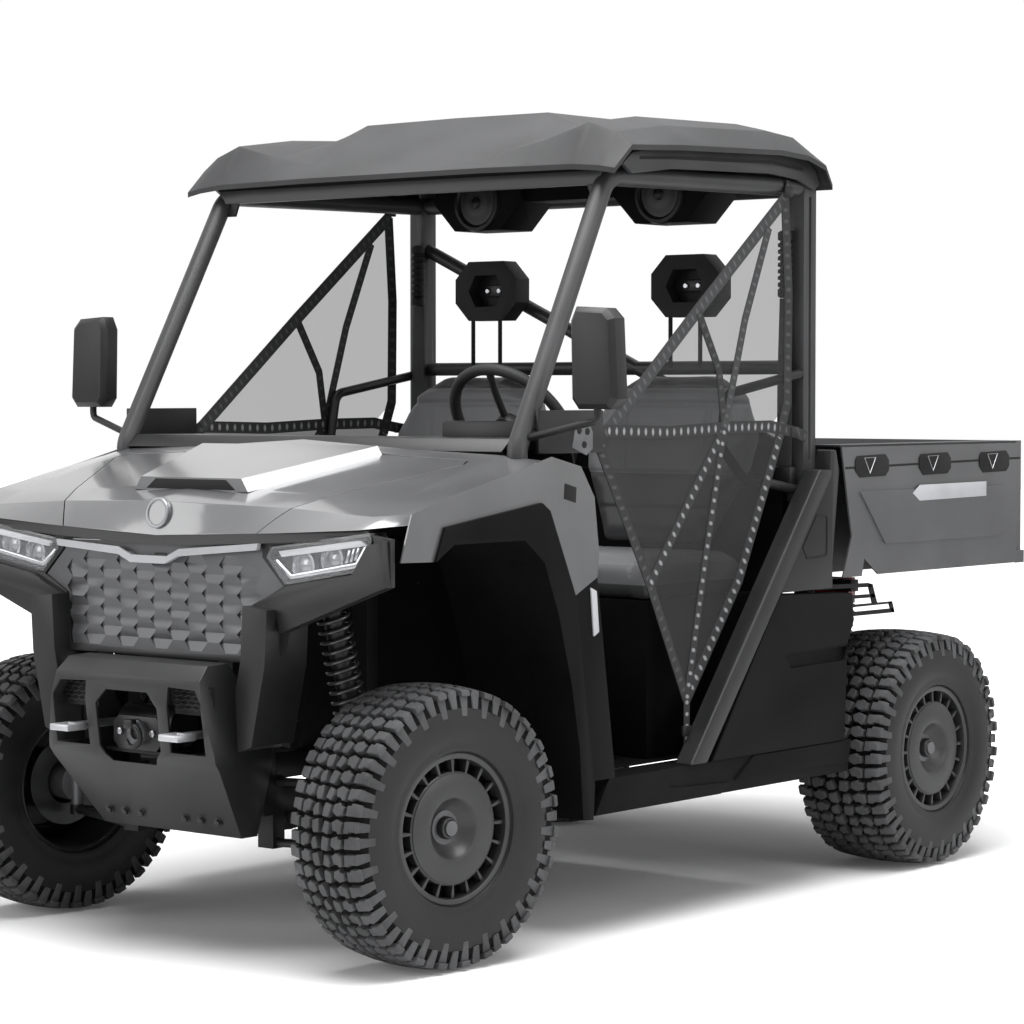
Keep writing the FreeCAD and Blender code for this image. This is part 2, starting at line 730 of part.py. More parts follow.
def chassis_frame():
    """Ladder rails with crossmembers, a truss loop at each end and the winch tray."""
    body = new_body("chassis_frame")
    rail_inner = s.frame_half - s.frame_rail
    for side in BOTH_SIDES:
        low = rail_inner * side if side > 0 else -s.frame_half
        high = s.frame_half * side if side > 0 else -rail_inner
        rail = rectangle(behind(s.frame_front_y), behind(s.frame_rear_y), s.frame_low_z, frame_top)
        side_pad(body, rail, low, high)
        front = [(behind(s.frame_front_y), frame_top),
                 (behind(s.front_truss_rear_y), frame_top),
                 (behind(s.front_truss_rear_y), s.front_truss_top_z),
                 (behind(s.frame_front_y), s.front_truss_low_z)]
        side_pad(body, front, low, high)
        hole = [(behind(s.frame_front_y + s.truss_tube), frame_top),
                (behind(s.front_truss_rear_y - s.truss_tube), frame_top),
                (behind(s.front_truss_rear_y - s.truss_tube), s.front_truss_top_z - s.truss_tube * 2),
                (behind(s.frame_front_y + s.truss_tube), s.front_truss_low_z - s.truss_tube * HALF)]
        side_pocket(body, hole, low, high)
        rear = rectangle(behind(s.rear_truss_front_y), behind(s.frame_rear_y), frame_top,
                         s.rear_truss_top_z)
        side_pad(body, rear, low, high)
        window = rectangle(behind(s.rear_truss_front_y + s.truss_tube),
                           behind(s.frame_rear_y - s.truss_tube), frame_top,
                           s.rear_truss_top_z - s.truss_tube)
        side_pocket(body, window, low, high)
    for start, reach in ((s.frame_front_y, rail_inner), (s.toe_foot_y, s.sill_inner_x),
                         (s.seat_base_rear_y, s.sill_inner_x),
                         (s.frame_rear_y - s.truss_tube, rail_inner)):
        wide_pad(body, rectangle(behind(start), behind(start + s.truss_tube), s.frame_low_z, frame_top),
                 reach)
    wide_pad(body, rectangle(behind(s.frame_front_y), behind(s.frame_front_y + s.truss_tube),
                             s.cross_low_z, s.cross_low_z + s.cross_height), s.beam_half)
    for middle, base in ((-s.shock_lean, s.shock_top_z), (s.wheel_base + s.shock_lean, s.shock_rear_top_z)):
        for side in BOTH_SIDES:
            low = rail_inner if side > 0 else -s.shock_top_x - s.shock_radius
            high = s.shock_top_x + s.shock_radius if side > 0 else -rail_inner
            tower = rectangle(behind(middle - s.tower_half), behind(middle + s.tower_half), base,
                              base + s.tower_height)
            side_pad(body, tower, low, high)
    for axle_y in (ZERO, s.wheel_base):
        for side in BOTH_SIDES:
            for end in BOTH_SIDES:
                low = rail_inner if side > 0 else -s.frame_half
                middle = axle_y + s.arm_pivot_spread * HALF * end
                plate = rectangle(behind(middle - s.tower_half), behind(middle + s.tower_half),
                                  s.arm_low_z2 - s.arm_section * HALF, s.arm_high_z + s.arm_section * HALF)
                side_pad(body, plate, low, low + s.frame_rail)
    for side in BOTH_SIDES:
        low = s.frame_half if side > 0 else -s.frame_half - s.bed_bracket
        high = s.frame_half + s.bed_bracket if side > 0 else -s.frame_half
        root = behind(s.frame_rear_y - s.truss_tube)
        ear = [(root, s.rear_truss_top_z - s.truss_tube),
               (behind(s.frame_rear_y), s.rear_truss_top_z - s.truss_tube),
               (behind(s.frame_rear_y), s.bed_hinge_z + s.bed_pin_radius * HALF),
               (behind(s.bed_hinge_y) + s.bed_pin_radius, s.bed_hinge_z + s.bed_pin_radius * 1.6),
               (root, s.bed_hinge_z + s.bed_pin_radius * 1.6)]
        side_pad(body, ear, low, high)
        pin = add_circle(body, "YZ_Plane", (behind(s.bed_hinge_y), s.bed_hinge_z), s.bed_pin_radius,
                         rail_inner * side if side > 0 else -s.frame_half - s.bed_bracket * HALF)
        add_feature(body, "Pad", pin, s.frame_rail + s.bed_bracket * HALF)
    wide_pad(body, rectangle(behind(s.winch_tray_front_y), behind(s.frame_front_y),
                             s.winch_tray_z, s.winch_tray_z + s.panel_wall * 2), s.winch_tray_half)
    tray_post = rectangle(behind(s.frame_front_y), behind(s.frame_front_y + s.truss_tube),
                          s.winch_tray_z, s.cross_low_z)
    wide_pad(body, tray_post, s.winch_tray_half)
    top_cross = rectangle(behind(s.frame_rear_y - s.truss_tube), behind(s.frame_rear_y),
                          s.rear_truss_top_z - s.truss_tube, s.rear_truss_top_z)
    wide_pad(body, top_cross, rail_inner)
    dash_cross = rectangle(behind(s.front_truss_rear_y - s.truss_tube), behind(s.front_truss_rear_y),
                           s.front_truss_top_z - s.truss_tube, s.front_truss_top_z)
    wide_pad(body, dash_cross, rail_inner)
    return body


def floor_tub():
    """Toe board, floor and rear wall of the cab bent from one sheet."""
    body = new_body("floor_tub")
    points = [(behind(s.toe_top_y), s.toe_top_z),
              (behind(s.toe_foot_y), frame_top),
              (behind(s.cab_rear_y), frame_top),
              (behind(s.cab_rear_y), s.cab_rear_z)]
    wide_pad(body, strip(points, s.panel_wall), s.tub_half)
    return body


def seat_base():
    """Moulded box under the seats, open below over the battery."""
    body = new_body("seat_base")
    floor = frame_top + s.panel_wall
    wide_pad(body, rectangle(behind(s.seat_base_front_y), behind(s.seat_base_rear_y), floor,
                             s.seat_base_z), s.seat_base_half)
    wide_pocket(body, rectangle(behind(s.seat_base_front_y) + s.panel_wall,
                                behind(s.seat_base_rear_y) - s.panel_wall,
                                floor, s.seat_base_z - s.panel_wall),
                s.seat_base_half - s.panel_wall)
    return body


def battery_pack():
    """The traction battery as one plain block on the floor, inside the seat base."""
    body = new_body("battery_pack")
    floor = frame_top + s.panel_wall
    wide_pad(body, rectangle(behind(s.battery_front_y), behind(s.battery_rear_y), floor,
                             s.battery_z), s.battery_half)
    return body


def drive_units():
    """Rear motor and gearbox block and the small front gearbox."""
    rear = block(-s.drive_half, s.drive_half, behind(s.drive_front_y), behind(s.frame_rear_y - s.truss_tube),
                 s.drive_low_z, s.drive_top_z)
    front = block(-s.diff_half, s.diff_half, behind(s.frame_front_y + s.truss_tube), behind(s.diff_rear_y),
                  s.drive_low_z, s.diff_top_z)
    return feature("drive_units", Part.makeCompound([rear, front]))


def rocker_panels():
    """Hollow sill mouldings under the door openings with the raised rear plate."""
    body = new_body("sill_left")
    points = outline(SILL_SHARES, behind(s.sill_front_y), behind(s.sill_rear_y), s.sill_low_z, frame_top)
    side_pad(body, points, s.sill_inner_x, s.body_half - s.sill_plate)
    for shares in (SILL_PLATE_SHARES, SILL_STEP_SHARES):
        raised = outline(shares, behind(s.sill_front_y), behind(s.sill_rear_y), s.sill_low_z, frame_top)
        side_pad(body, raised, s.body_half - s.sill_plate, s.body_half)
    hollow = rectangle(behind(s.sill_front_y) + s.sill_low_z * HALF, behind(s.sill_rear_y) - s.frame_tube,
                       s.sill_low_z, frame_top - s.panel_wall)
    side_pocket(body, hollow, s.sill_inner_x + s.panel_wall, s.body_half - s.sill_plate - s.panel_wall)
    return pair("rocker_panels", body)


def front_skin():
    """The painted sheet over the whole front, from which bonnet and wings are parted."""
    body = new_body("front_skin")
    sections = SKIN_SECTION_SHARES
    stations = [(-share, rows) for share, rows in reversed(sections[1:])] + sections
    sketches = []
    for share, rows in stations:
        outer = outline(rows, behind(s.skin_front_y), behind(s.skin_rear_y), s.skin_low_z, s.skin_top_z)
        wall = s.panel_wall
        lip, ridge, shoulder, rear = outer
        inner = [(rear[0], rear[1] - wall * 1.3),
                 (shoulder[0], shoulder[1] - wall * 1.3),
                 (ridge[0] + wall, ridge[1] - wall * 1.3),
                 (lip[0] + wall, lip[1])]
        sketches.append(add_sketch(body, "YZ_Plane", outer + inner, s.body_half * share))
    loft = body.newObject("PartDesign::AdditiveLoft", "front_skin_loft")
    loft.Profile = sketches[0]
    loft.Sections = sketches[1:]
    loft.Ruled = True
    return body


def bonnet_plan(side_gap, rear_gap):
    """Plan outline of the bonnet with its rear corners cut off, grown outwards by its gaps."""
    ridge_y = between(behind(s.skin_front_y), behind(s.skin_rear_y), RIDGE_SHARE)
    corner_x = between(s.bonnet_ridge_half, s.bonnet_rear_half, CORNER_SHARE)
    corner_y = between(ridge_y, behind(s.bonnet_rear_y), CORNER_SHARE)
    half = [(s.bonnet_front_half + side_gap, behind(s.skin_front_y) - s.cut_overrun),
            (s.bonnet_front_half + side_gap, behind(s.skin_front_y)),
            (s.bonnet_ridge_half + side_gap, ridge_y),
            (corner_x + side_gap, corner_y + side_gap * HALF),
            (corner_x - s.bonnet_corner + side_gap, behind(s.bonnet_rear_y) + rear_gap)]
    return half + mirrored(half)


def bonnet_prism(label, side_gap, rear_gap):
    """A tall prism over the bonnet's plan."""
    body = new_body(label)
    top_pad(body, bonnet_plan(side_gap, rear_gap), s.skin_low_z - s.cut_overrun * 2,
            s.skin_top_z + s.cut_overrun)
    return body


def boolean(kind, label, base, tool):
    """A cut or common of two objects."""
    item = doc.addObject("Part::" + kind, label)
    item.Label = label
    item.Base = base
    item.Tool = tool
    return item


def cage_points():
    """The corner points of the left side of the cage, from the sill to the rear header."""
    sole = vector(s.cage_foot_x, behind(s.cage_sole_y), frame_top)
    knee = vector(s.cage_foot_x, behind(s.cage_knee_y), s.cage_knee_z)
    foot = vector(s.cage_foot_x, behind(s.cage_foot_y), s.cage_foot_z)
    front = vector(s.cage_front_x, behind(s.cage_front_y), s.cage_front_z)
    rear = vector(s.cage_rear_x, behind(s.cage_rear_y), s.cage_rear_z)
    return sole, knee, foot, front, rear


def post_tube(radius):
    """The bent front post and roof rail of the left side, with any radius."""
    return bent_tube(list(cage_points()), s.cage_tube_radius * 3, radius)


def bonnet_scoop():
    """Raised middle of the bonnet, which stands up at the front and runs out at the cowl."""
    body = new_body("bonnet_scoop")
    stations = ((s.scoop_front_y, s.scoop_front_half, s.scoop_low_z, s.scoop_top_z),
                (s.bonnet_rear_y, s.scoop_rear_half, s.scoop_rear_low_z, s.scoop_rear_top_z))
    sketches = []
    for place, half, low, top in stations:
        points = [(-half, low), (half, low), (half - s.scoop_slope, top), (-half + s.scoop_slope, top)]
        sketches.append(add_sketch(body, "XZ_Plane", points, -behind(place)))
    loft = body.newObject("PartDesign::AdditiveLoft", "bonnet_scoop_loft")
    loft.Profile = sketches[0]
    loft.Sections = sketches[1:]
    loft.Ruled = True
    return body


def bonnet_and_wings():
    """Bonnet lid and both front wings, parted from the one skin along the shut line."""
    skin = front_skin()
    lid = boolean("Common", "bonnet_lid", skin, bonnet_prism("bonnet_plan", ZERO, ZERO))
    bonnet = doc.addObject("Part::MultiFuse", "bonnet")
    bonnet.Label = "bonnet"
    bonnet.Shapes = [lid, bonnet_scoop()]
    wing_tops = boolean("Cut", "wing_tops", skin, bonnet_prism("shut_line_plan", s.shut_gap, s.hinge_gap))
    side = new_body("wing_side")
    side_pad(side, wing_outline(), s.body_half - s.panel_wall, s.body_half)
    sides = pair("wing_sides", side)
    wings = doc.addObject("Part::MultiFuse", "joined_wings")
    wings.Shapes = [wing_tops, sides]
    posts = feature("post_holes", both_sides([post_tube(s.cage_tube_radius + s.panel_gap)]))
    return bonnet, boolean("Cut", "front_wings", wings, posts)


def wing_outline():
    """Side view of the front wing's flank."""
    return outline(WING_SHARES, behind(s.wing_front_y), behind(s.wing_rear_y), s.wing_low_z, s.wing_top_z)


def arch_line():
    """Side view of the wheel arch's inner edge, from the sill forwards over the wheel."""
    points = outline(FLARE_SHARES, behind(s.flare_front_y), behind(s.flare_rear_y), s.flare_low_z,
                     s.flare_top_z)
    return points[2:]


def wheel_arch_flares():
    """Black arch trims with a lip turned inwards and the strip ahead of the door opening."""
    body = new_body("flare_left")
    wing = wing_outline()
    arch = outline(FLARE_SHARES, behind(s.flare_front_y), behind(s.flare_rear_y), s.flare_low_z,
                   s.flare_top_z)
    points = wing[6:11][::-1] + arch
    side_pad(body, points, s.body_half - s.panel_wall, s.body_half + s.flare_proud)
    side_pad(body, strip(arch_line()[::-1], s.panel_wall), s.body_half - s.flare_depth, s.body_half)
    edge = outline(DOOR_STRIP_SHARES, behind(s.door_strip_front_y), behind(s.door_strip_rear_y),
                   s.door_strip_low_z, s.door_strip_top_z)
    side_pad(body, [wing[6], wing[5]] + edge, s.body_half - s.panel_wall * 3, s.body_half)
    return pair("wheel_arch_flares", body)


def wheel_liners():
    """Black liners that carry the arch lips on towards the frame."""
    body = new_body("liner_left")
    side_pad(body, strip(arch_line()[::-1], s.panel_wall), s.liner_inner_x, s.body_half - s.flare_depth)
    return pair("wheel_liners", body)


def front_panel():
    """Black front moulding with the grille and lamp openings and the two forward arms."""
    body = new_body("front_panel")
    face = behind(s.panel_front_y)
    back = face + s.panel_depth
    points = outline(PANEL_SHARES, ZERO, s.panel_half, s.panel_low_z, s.panel_top_z)
    front_pad(body, whole(points), face, back)
    for side in BOTH_SIDES:
        arm = outline(ARM_SHARES, s.arm_inner_x, s.arm_outer_x, s.arm_low_z, s.arm_top_z)
        branch = outline(BRANCH_SHARES, s.arm_outer_x * 0.81, s.panel_half, s.branch_low_z, s.branch_top_z)
        front_pad(body, arm if side > 0 else mirrored(arm), behind(s.arm_front_y), behind(s.arm_back_y))
        front_pad(body, branch if side > 0 else mirrored(branch), behind(s.branch_front_y), back)
    grille = outline(GRILLE_SHARES, ZERO, s.grille_half, s.grille_low_z, s.grille_top_z)
    front_pocket(body, whole(grille), behind(s.panel_front_y) - s.cut_overrun, back)
    for side in BOTH_SIDES:
        lamp = outline(LAMP_SHARES, s.lamp_inner_x, s.lamp_outer_x, s.lamp_low_z, s.lamp_top_z)
        front_pocket(body, lamp if side > 0 else mirrored(lamp), behind(s.arm_front_y), back)
    return body


def grille_cell(x, z, face):
    """A six-sided cell whose upper and lower facets meet in a crease behind the face."""
    half = s.cell_width * HALF
    flat = s.cell_flat * HALF
    rise = s.cell_height * HALF
    front = [vector(x + u, face, z + v)
             for u, v in ((-half, ZERO), (-flat, rise), (flat, rise), (half, ZERO), (flat, -rise),
                          (-flat, -rise))]
    crease = [vector(x - half, face + s.cell_depth, z), vector(x + half, face + s.cell_depth, z)]
    left, upper_left, upper_right, right, lower_right, lower_left = front
    rings = (front, [upper_left, upper_right, crease[1], crease[0]],
             [lower_left, lower_right, crease[1], crease[0]],
             [left, upper_left, crease[0]], [left, lower_left, crease[0]], [right, upper_right, crease[1]],
             [right, lower_right, crease[1]])
    return Part.Solid(Part.Shell([Part.Face(Part.makePolygon(ring + ring[:1])) for ring in rings]))


def grille():
    """Closed grille plate in its opening, faceted with staggered cells."""
    body = new_body("grille_plate")
    points = outline(GRILLE_SHARES, ZERO, s.grille_half - s.panel_gap * 2, s.grille_low_z,
                     s.grille_top_z - s.panel_gap)
    back = behind(s.panel_front_y) + s.panel_depth
    front_pad(body, whole(points), back - s.grille_depth, back)
    pitch = (s.cell_width + s.cell_flat) * HALF
    middle = between(s.grille_low_z, s.grille_top_z, 0.47)
    cells = []
    for column in range(-CELL_COLUMNS, CELL_COLUMNS + 1):
        for row in range(-CELL_ROWS, CELL_ROWS + 1):
            raised = HALF if column % 2 else 0
            if abs(row + raised) > CELL_ROWS:
                continue
            cell = grille_cell(pitch * column, middle + s.cell_height * (row + raised), back - s.grille_depth)
            cells.append(cell)
    pattern = feature("grille_cells", Part.makeCompound(cells))
    return boolean("Cut", "grille", body, pattern)


def headlamps():
    """Lamp units in the openings of the front panel, with a flange behind the panel."""
    body = new_body("headlamp_left")
    face = behind(s.panel_front_y)
    back = face + s.panel_depth
    gap = s.panel_gap
    lens = outline(LAMP_SHARES, s.lamp_inner_x + gap, s.lamp_outer_x - gap, s.lamp_low_z + gap,
                   s.lamp_top_z - gap)
    front_pad(body, lens, face - s.lamp_proud, back)
    flange = outline(LAMP_SHARES, s.lamp_inner_x - gap * 2, s.lamp_outer_x + gap * 2,
                     s.lamp_low_z - gap * 2, s.lamp_top_z + gap * 2)
    front_pad(body, flange, back, face + s.lamp_depth)
    return pair("headlamps", body)


def front_bumper():
    """Moulded bumper shell over the winch, running down into the skid plate."""
    body = new_body("front_bumper")
    y_low = behind(s.bumper_front_y)
    y_high = behind(s.bumper_rear_y)
    outer = outline(BUMPER_SHARES, y_low, y_high, s.bumper_low_z, s.bumper_top_z)
    wide_pad(body, outer, s.bumper_half)
    for shares, half, low, high in ((BUMPER_TOP_SHARES, s.bumper_top_half, s.mesh_low_z, s.bumper_top_z),
                                    (BUMPER_FOOT_SHARES, s.bumper_foot_half, s.bumper_low_z, s.window_low_z)):
        corner = outline(shares, half, s.bumper_half, low, high)
        for points in (corner, mirrored(corner)):
            front_pocket(body, points, y_low, y_high)
    wall = s.bumper_wall
    a, b, c, d, e, f, g, k = outer
    inner = [(a[0] + s.cut_overrun, a[1] - wall), (b[0], b[1] - wall), (c[0] + wall, c[1] - wall * HALF),
             (d[0] + wall, d[1]), (e[0] + wall, e[1]), (f[0] + wall * 1.6, f[1]),
             (g[0] + s.cut_overrun, g[1]), (k[0] + s.cut_overrun, k[1])]
    wide_pocket(body, inner, s.bumper_foot_half - wall)
    front = y_low - s.cut_overrun
    reach = y_low + (y_high - y_low) * HALF
    window = outline(WINDOW_SHARES, -s.window_half, s.window_half, s.window_low_z, s.window_top_z)
    front_pocket(body, window, front, reach)
    for side in BOTH_SIDES:
        mesh = outline(MESH_SHARES, s.mesh_inner_x, s.mesh_outer_x, s.mesh_low_z, s.mesh_top_z)
        front_pocket(body, mesh if side > 0 else mirrored(mesh), front, reach)
    return body


def winch():
    """Winch drum housing on its tray behind the octagonal window."""
    axis_y = behind(s.winch_y)
    drum = Part.makeCylinder(float(s.winch_radius), float(s.winch_half * 2),
                             vector(-s.winch_half, axis_y, s.winch_z), FreeCAD.Vector(1, 0, 0))
    foot = block(-s.winch_half, s.winch_half, axis_y - s.winch_radius * HALF, axis_y + s.winch_radius * HALF,
                 s.winch_tray_z + s.panel_wall * 2, s.winch_z)
    return feature("winch", drum.fuse(foot).removeSplitter())


def tow_hooks():
    """Two flat steel tow eyes bolted to the front crossmember."""
    body = new_body("tow_hook_left")
    tip = behind(s.hook_tip_y)
    tail = behind(s.frame_front_y)
    bend = tip + s.hook_half * 2
    eye = s.hook_half * HALF
    points = [(s.hook_x - s.hook_half, bend), (s.hook_x - s.hook_half, tip), (s.hook_x + s.hook_half, tip),
              (s.hook_x + s.hook_half, bend), (s.hook_x + eye, bend), (s.hook_x + eye, tail),
              (s.hook_x - eye, tail), (s.hook_x - eye, bend)]
    low = s.hook_z - s.hook_thick * HALF
    high = s.hook_z + s.hook_thick * HALF
    top_pad(body, points, low, high)
    top_pocket(body, rectangle(s.hook_x - eye, s.hook_x + eye, tip + eye, bend - eye), low, high)
    return pair("tow_hooks", body)


def dashboard():
    """Bulkhead, cowl and dash moulding across the cab, pierced by the column."""
    body = new_body("dash_sheet")
    points = outline(DASH_SHARES, behind(s.dash_front_y), behind(s.dash_rear_y), s.dash_low_z, s.dash_top_z)
    foot = (behind(s.toe_top_y), s.toe_top_z)
    wide_pad(body, strip(([foot] + points)[::-1], s.panel_wall), s.dash_half)
    lower, upper = column_ends()
    reach = column_axis() * float(s.column_radius)
    hole = feature("column_hole", tube(lower - reach, upper + reach, s.column_radius))
    return boolean("Cut", "dashboard", body, hole)


def column_ends():
    """Lower and upper end of the steering column's jacket."""
    axis = column_axis()
    centre = vector(s.wheel_ring_x, behind(s.wheel_ring_y), s.wheel_ring_z)
    upper = centre - axis * float(s.wheel_grip_radius * 3)
    return upper - axis * float(s.column_length), upper


def column_axis():
    """Direction of the steering column, from the dash up to the driver."""
    tilt = math.radians(float(s.column_tilt))
    return FreeCAD.Vector(0, math.cos(tilt), math.sin(tilt))


def steering_column():
    """Fixed column jacket that carries the steering wheel's shaft."""
    axis = column_axis()
    lower, upper = column_ends()
    jacket = tube(lower, upper, s.column_radius)
    bore = tube(lower - axis, upper + axis, s.column_radius * HALF + s.column_bore_gap)
    return feature("steering_column", jacket.cut(bore))


def steering_wheel():
    """Thick grip ring with three spokes, a hub and its shaft in the column."""
    axis = column_axis()
    centre = vector(s.wheel_ring_x, behind(s.wheel_ring_y), s.wheel_ring_z)
    ring = Part.makeTorus(float(s.wheel_ring_radius), float(s.wheel_grip_radius), centre, axis)
    depth = float(s.wheel_grip_radius * 2)
    hub = Part.makeCylinder(float(s.column_radius * 2), depth, centre - axis * depth, axis)
    shaft = Part.makeCylinder(float(s.column_radius * HALF), float(s.column_length * HALF) + depth,
                              centre - axis * (float(s.column_length * HALF) + depth), axis)
    across = FreeCAD.Vector(1, 0, 0)
    down = axis.cross(across)
    shape = ring.fuse([hub, shaft])
    for direction in (across, across * -1, down * -1):
        tip = centre + direction * float(s.wheel_ring_radius)
        shape = shape.fuse(tube(centre - axis * float(s.wheel_grip_radius), tip, s.wheel_grip_radius * 0.7))
    return feature("steering_wheel", shape.removeSplitter())


def roll_cage():
    """Front posts, roof rails, rear pillars, cross tubes, brace and lower door struts."""
    radius = s.cage_tube_radius
    post = post_tube(radius)
    sill_top = block(-s.body_half, s.body_half, behind(s.cage_sole_y) - s.frame_tube,
                     behind(s.cage_sole_y) + s.frame_tube, s.frame_low_z, frame_top)
    post = post.cut(sill_top)
    pieces = [post, mirror_shape(post)]
    half_deep = s.pillar_deep * HALF
    pillar_y = behind(s.cage_rear_y)
    grooves = []
    for side in BOTH_SIDES:
        low_x = s.cage_rear_x - s.pillar_wide * HALF if side > 0 else -s.cage_rear_x - s.pillar_wide * HALF
        pieces.append(block(low_x, low_x + s.pillar_wide, pillar_y - half_deep, pillar_y + half_deep,
                            s.pillar_end_z, s.cage_rear_z + radius))
        outer_x = s.cage_rear_x + s.pillar_wide * HALF
        groove_x = outer_x - s.pillar_groove_deep if side > 0 else -outer_x
        grooves.append(block(groove_x, groove_x + s.pillar_groove_deep, pillar_y - s.pillar_groove * HALF,
                             pillar_y + s.pillar_groove * HALF, s.pillar_foot_z + s.cage_tube_radius,
                             s.cage_rear_z - s.cage_tube_radius))
    header_y = behind(s.cage_front_y)
    plate = outline(GUSSET_SHARES, s.cage_front_x - s.gusset_reach, s.cage_front_x,
                    s.header_z - s.header_height, s.header_z + s.header_height * HALF)
    corners = [vector(x, header_y - s.gusset_thick, z) for x, z in plate]
    gusset = Part.Face(Part.makePolygon(corners + corners[:1])).extrude(vector(ZERO, s.gusset_thick, ZERO))
    pieces.extend([gusset, mirror_shape(gusset)])
    pieces.append(block(-s.cage_front_x, s.cage_front_x, header_y - radius, header_y,
                        s.header_z, s.header_z + s.header_height))
    for right_z, left_z, thick in ((s.cage_rear_z, s.cage_rear_z, radius), (s.bar_z, s.bar_z, s.bar_radius),
                                   (s.brace_top_z, s.brace_low_z, s.bar_radius)):
        pieces.append(tube(vector(-s.cage_rear_x, pillar_y, right_z), vector(s.cage_rear_x, pillar_y, left_z),
                           thick))
    shape = pieces[0].fuse(pieces[1:]).cut(grooves)
    return feature("roll_cage", shape.removeSplitter())


def door_struts():
    """Flat-faced struts from the rear pillars down to the sills, behind the door openings."""
    body = new_body("door_strut_left")
    points = outline(STRUT_SHARES, behind(s.strut_front_y), behind(s.cage_rear_y) + s.pillar_deep * HALF,
                     s.strut_low_z, s.pillar_foot_z)
    side_pad(body, points, s.strut_inner_x, s.body_half + s.flare_proud)
    return pair("door_struts", body)


def roof():
    """Moulded hard top with a raised middle, side ribs and a dropped rear lip."""
    body = new_body("roof")
    sketches = []
    for share, rows in ROOF_SECTION_SHARES:
        half = outline(rows, ZERO, s.roof_half, s.roof_low_z, s.roof_top_z)
        left = half
        outer = mirrored(half[1:]) + left
        inner = [(x, z - s.roof_wall) for x, z in reversed(outer)]
        place = between(behind(s.roof_front_y), behind(s.roof_rear_y), share)
        sketches.append(add_sketch(body, "XZ_Plane", outer + inner, -place))
    loft = body.newObject("PartDesign::AdditiveLoft", "roof_loft")
    loft.Profile = sketches[0]
    loft.Sections = sketches[1:]
    loft.Ruled = True
    half = s.roof_foot * HALF
    for place, rise in ((s.roof_foot_front_y, ROOF_FOOT_SHARES[0]),
                        (s.roof_foot_rear_y, ROOF_FOOT_SHARES[1])):
        share = (float(place) - float(s.cage_front_y)) / (float(s.cage_rear_y) - float(s.cage_front_y))
        centre = between(s.cage_front_x, s.cage_rear_x, share)
        base = between(s.cage_front_z, s.cage_rear_z, share) + s.cage_tube_radius + s.seat_gap
        for side in BOTH_SIDES:
            middle = centre * side
            foot = rectangle(middle - half, middle + half, base, between(s.roof_low_z, s.roof_top_z, rise))
            front_pad(body, foot, behind(place) - half, behind(place) + half)
    return body


def speaker_pods():
    """Two speaker pods joined by a bridge under the rear of the roof."""
    body = new_body("speaker_pods")
    front = behind(s.pod_front_y)
    rear = behind(s.pod_rear_y)
    for side in BOTH_SIDES:
        pod = outline(POD_SHARES, s.pod_x - s.pod_half, s.pod_x + s.pod_half, s.pod_low_z, s.pod_top_z)
        front_pad(body, pod if side > 0 else mirrored(pod), front, rear)
    bridge = rectangle(-s.pod_x, s.pod_x, s.pod_bridge_low_z, s.pod_top_z)
    front_pad(body, bridge, front + s.cut_overrun, rear)
    return body


def seat_cushions():
    """Driver's and passenger's seat cushions."""
    body = new_body("seat_cushion_left")
    base = s.seat_base_z + s.seat_gap
    points = rectangle(behind(s.cushion_front_y), behind(s.cushion_rear_y), base, base + s.cushion_thick)
    side_pad(body, points, s.seat_x - s.cushion_half, s.seat_x + s.cushion_half)
    return pair("seat_cushions", body)


def seat_backs():
    """Raked seat backs, wide at the shoulders and narrow at the cushion."""
    body = new_body("seat_back_left")
    low = behind(s.back_low_y)
    high = low + s.back_rake
    base = s.seat_base_z + s.cushion_thick + s.seat_gap * 2
    profile = [(low - s.back_thick, base), (low, base),
               (high, s.back_top_z), (high - s.back_thick * 0.6, s.back_top_z)]
    side_pad(body, profile, s.seat_x - s.back_half, s.seat_x + s.back_half)
    shoulders = new_body("seat_back_outline")
    points = outline(SEAT_BACK_SHARES, s.seat_x - s.back_half, s.seat_x + s.back_half, base, s.back_top_z)
    front_pad(shoulders, points, low - s.back_thick - s.cut_overrun, high + s.cut_overrun)
    return pair("seat_backs", boolean("Common", "seat_back_shape", body, shoulders))


def headrests():
    """Octagonal headrests with a hollow middle on the rear cross bar."""
    body = new_body("headrest_left")
    face = behind(s.rest_y)
    points = outline(OCTAGON_SHARES, s.seat_x - s.rest_half, s.seat_x + s.rest_half,
                     s.rest_low_z, s.rest_high_z)
    front_pad(body, points, face - s.rest_thick * HALF, face + s.rest_thick * HALF)
    hollow = outline(HOLLOW_SHARES, s.seat_x - s.rest_hollow_half, s.seat_x + s.rest_hollow_half,
                     s.rest_hollow_low_z, s.rest_hollow_high_z)
    front_pocket(body, hollow, face - s.rest_thick * HALF, face + s.rest_thick * HALF - s.rest_back_wall)
    for place in (s.seat_x - s.rest_post_x, s.seat_x + s.rest_post_x):
        post = add_circle(body, "XY_Plane", (place, behind(s.rest_post_y)), s.rest_post_radius, s.back_top_z)
        add_feature(body, "Pad", post, s.rest_low_z - s.back_top_z + s.rest_post_radius)
    return pair("headrests", body)


def side_nets():
    """Triangular door nets of webbing and mesh with straps to the roof rail and pillar."""
    body = new_body("side_net_left")
    points = outline(NET_SHARES, behind(s.net_front_y), behind(s.net_rear_y), s.net_low_z, s.net_top_z)
    side_pad(body, points, s.net_x, s.net_x + s.net_thick)
    rear = behind(s.net_rear_y)
    top = rectangle(rear - s.net_strap * 1.5, rear - s.net_strap * HALF, s.net_top_z - s.net_strap * 2,
                    s.cage_rear_z + s.cage_tube_radius)
    side_pad(body, top, s.net_x, s.net_x + s.net_thick)
    corner = between(s.net_low_z, s.net_top_z, 0.54)
    side = rectangle(rear - s.net_strap * 2, behind(s.cage_rear_y), corner - s.net_strap * HALF,
                     corner + s.net_strap * HALF)
    side_pad(body, side, s.net_x, s.net_x + s.net_thick)
    return pair("side_nets", body)


